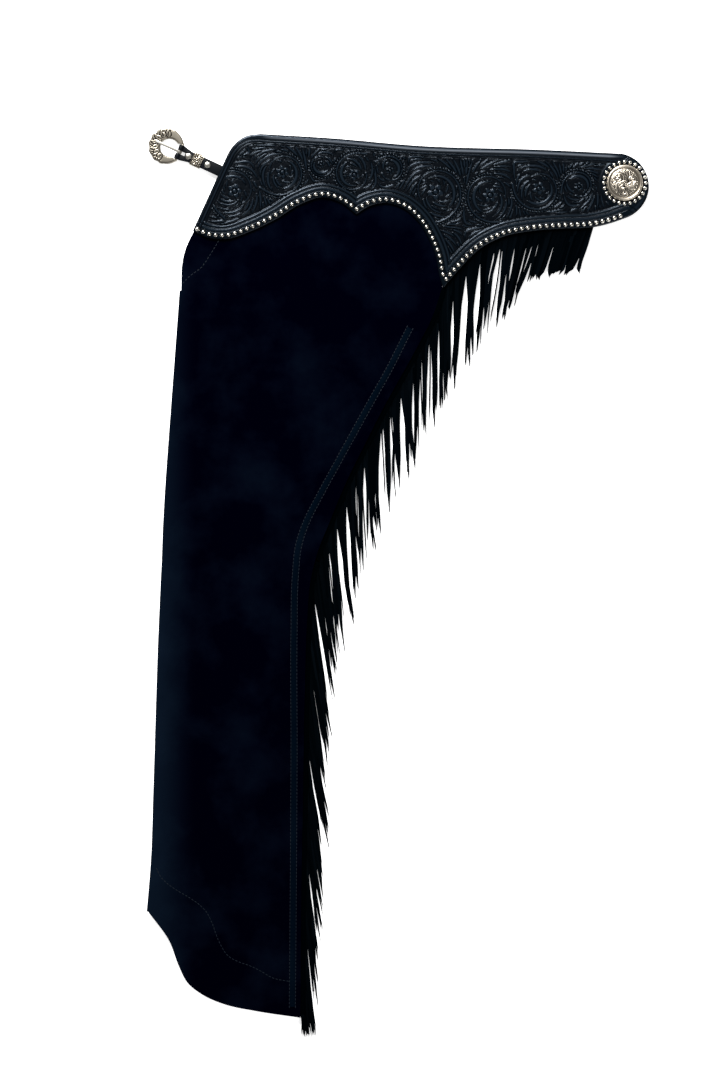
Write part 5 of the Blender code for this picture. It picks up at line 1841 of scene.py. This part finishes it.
@dataclass
class Keeper:
    """The silver keeper round the strap: an engraved band with scalloped ends."""

    placing: Placing
    half_width: float = 0.00815
    half_height: float = 0.00315
    half_length: float = 0.0065
    wall: float = 0.0012
    corner_power: float = 0.4
    scallop: float = 0.0006
    scallop_pitch: float = 0.0036
    # The grooves beside its ends: their share of its half length, half width and depth in mm
    groove: tuple[float, float, float] = (0.84, 0.05, 0.35)

    def section(self, u: Points) -> Points:
        """The band's outline across the strap, from its underside round by its top."""
        turn = 2 * math.pi * u - math.pi / 2
        return np.column_stack([
            self.half_width * np.sign(np.cos(turn)) * np.abs(np.cos(turn)) ** self.corner_power,
            self.half_height * np.sign(np.sin(turn)) * np.abs(np.sin(turn)) ** self.corner_power])

    def design(self, relief: Carving) -> None:
        """A flower between leaves, on the band laid flat."""
        for side in (1.0, -1.0):
            for spread in (-0.9, -0.3, 0.3, 0.9):
                relief.leaf(arc_course(np.array([0.0, side * 2.5]), side * math.pi / 2 + spread, 6.0, spread), 1.1)
            for x in (-4.2, 4.2):
                relief.seed(np.array([x, side * 3.2]), 0.7)
        relief.flower(np.zeros(2), 3.2, 6, 0.0)

    def build(self, material: bpy.types.Material) -> bpy.types.Object:
        """Make the keeper.

        Args:
            material: Its finish.

        Returns:
            The keeper.
        """
        fine = np.linspace(0.0, 1.0, 2000)
        passed = distances_passed(self.section(fine))
        depths: list[Points] = []

        def place(u: Points, v: Points) -> Points:
            around = u * passed[-1]
            share = np.interp(around, passed, fine)
            spot = self.section(share)
            tangent = self.section(share + 0.002) - self.section(share - 0.002)
            out = np.column_stack([tangent[:, 1], -tangent[:, 0]]) / np.linalg.norm(tangent, axis=1)[:, None]
            reach = self.half_length - self.scallop * np.abs(np.sin(math.pi * around / self.scallop_pitch))
            x = (2 * v - 1) * reach
            depth = engraved(np.column_stack([x, around - passed[-1] / 2]) / MM, self.design, 0.7, 0.8)
            middle, half, deep = self.groove
            depth -= deep * np.exp(-((np.abs(2 * v - 1) - middle) / half) ** 2)
            depths.append(depth)
            return np.column_stack([x, spot + out * (0.4 * depth * MM)[:, None]])

        keeper = new_grid("strap_keeper_engraved", 110, 30, place)
        set_attribute(keeper, "depth_mm", depths[0])
        edit(keeper, MERGED, OUTWARDS)
        thicken(keeper, self.wall)
        set_coordinates(keeper, self.placing.apply(get_coordinates(keeper)))
        return dress(keeper, 50.0, material, "silver", "chaps", "strap_keeper")


@dataclass
class BuckleSet:
    """The buckle's frame on its bar, and the keeper further along the strap."""

    bar: Points
    strap_deg: float = -25.0
    frame_tip_deg: float = -2.0
    keeper_from_bar: float = 0.023
    keeper_z: float = 0.00405
    keeper_tip_deg: float = -2.67

    def build(self, material: bpy.types.Material) -> None:
        """Place both along the strap.

        Args:
            material: Their finish.
        """
        BuckleFrame(Placing(tuple(self.bar), self.strap_deg, self.frame_tip_deg)).build(material)
        x, y = self.bar[:2] + self.keeper_from_bar * on_circle(math.radians(self.strap_deg))
        Keeper(Placing((x, y, self.keeper_z), self.strap_deg, self.keeper_tip_deg)).build(material)


@dataclass
class CarriedOver:
    """A fitting whose CAD shape is right: a copy of it, with its edges burnished or polished round."""

    node: str
    edge: float
    slot: str
    body: str = "chaps"

    def build(self, material: bpy.types.Material) -> bpy.types.Object:
        """Copy the solid and round its edges.

        Args:
            material: Its finish.

        Returns:
            The piece.
        """
        source = FRAME["nodes"][self.node]
        piece = link_new(f"{self.node}_finished", source.data.copy())
        edit(piece, MERGED, ("dissolve_limited", {"angle_limit": math.radians(1.0)}))
        apply_modifier(piece, "BEVEL", width=self.edge, segments=3, limit_method="ANGLE",
                       angle_limit=math.radians(35.0), use_clamp_overlap=True)
        return dress(piece, 40.0, material, self.slot, self.body, self.node)


# The studio

@dataclass
class Studio:
    """A white table seen straight down, with a large soft light from the top and a weak one from below."""

    middle: tuple[float, float] = (-0.0442, 0.0497)
    height: float = 3.0
    lens: float = 85.4
    # Name, place, size and power
    softboxes: tuple = (("key_softbox", (-0.8, 2.7, 2.1), 1.3, 300.0), ("fill_softbox", (1.6, -2.4, 2.4), 2.4, 60.0))
    sky: float = 0.15
    table_size: float = 60.0
    table_z: float = -0.0004

    def build(self, opal: bpy.types.Material) -> None:
        """Lay the table, hang the lights and set the camera.

        Args:
            opal: The table's finish.
        """
        table = add_primitive("plane", size=self.table_size, location=(0.0, 0.0, self.table_z))
        bpy.ops.object.transform_apply(location=True, rotation=True, scale=True)
        table.name = "table"
        table.data.materials.append(opal)
        for name, place, size, power in self.softboxes:
            lamp = bpy.data.lights.new(name, "AREA")
            lamp.size, lamp.energy = size, power
            light = link_new(name, lamp)
            light.location = place
            aim = Vector((*self.middle, 0.0)) - light.location
            light.rotation_euler = aim.to_track_quat("-Z", "Y").to_euler()
        world = bpy.data.worlds.new("studio")
        world.use_nodes = True
        fill(world.node_tree, world.node_tree.nodes["Background"],
             {"Color": (1.0, 1.0, 1.0, 1.0), "Strength": self.sky})
        bpy.context.scene.world = world
        data = bpy.data.cameras.new("camera")
        data.type, data.lens, data.sensor_width = "PERSP", self.lens, 36.0
        camera = link_new("camera", data)
        camera.location = (*self.middle, self.height)
        bpy.context.scene.camera = camera
        bpy.context.scene.view_settings.view_transform = "Standard"


FRAME: dict = {}
BAR_ON_TABLE = (-0.2551, 0.5025, 0.0033)


def main() -> None:
    """Build every piece in order."""
    logging.basicConfig(level=logging.INFO, format="%(name)s: %(message)s")
    FRAME.update(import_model())
    hinge = next(joint for joint in FRAME["joints"] if joint["name"] == "buckle_swing")
    bar = np.array([float(value) for value in hinge["pos_m"]])
    shift = (bar - BAR_ON_TABLE)[:2]

    suede, fringe = NappedSuede().build(), CutFringe().build()
    leather, strap = TooledLeather().build(), StrapLeather().build()
    silver, cast = EngravedSilver().build(), EngravedSilver("cast_silver", bright="#8A8478").build()
    polished, satin = PolishedMetal().build(), PolishedMetal("satin_metal", "#AEABA3", 0.36).build()
    Studio().build(LightTable().build())

    yoke, leg = YokePattern(shift), LegPattern(shift)
    far = LegPanel(leg, yoke, Face.FAR, outer_yoke_z=0.0033, inner_z=0.0023, inset=0.0012)
    near = LegPanel(leg, yoke, Face.NEAR, outer_z=0.00645, outer_yoke_z=0.00515, inner_z=0.00415)
    far_leg, near_leg = far.build(suede), near.build(suede)
    thread = WaxedThread().build()
    seams = LegSeams(near).build(NappedSuede(name="suede_seam", shade="#01060E").build(), thread)
    scrolls = ScrollCarving()
    YokePanel(yoke, Face.NEAR, scrolls).build(leather)
    YokePanel(yoke, Face.FAR, scrolls, pitch=0.0012).build(leather)
    MetalDomes(yoke).build(polished)
    fringes = Fringes(yoke, leg).build(fringe)

    TopSeam(yoke).build(thread)

    Concho(np.array(yoke.concho) + shift).build(silver)
    BuckleSet(bar).build(cast)
    for piece, finish in ((CarriedOver("buckle_tongue", 0.0005, "silver", "tongue"), satin),
                          (CarriedOver("strap_screw_front", 0.0002, "nickel"), satin),
                          (CarriedOver("strap_screw_back", 0.0002, "nickel"), satin),
                          (CarriedOver("front_strap", 0.0005, "strap_leather"), strap),
                          (CarriedOver("billet_strap", 0.0005, "strap_leather"), strap),
                          (CarriedOver("back_tie", 0.0005, "strap_leather"), strap)):
        piece.build(finish)


if __name__ == "__main__":
    main()
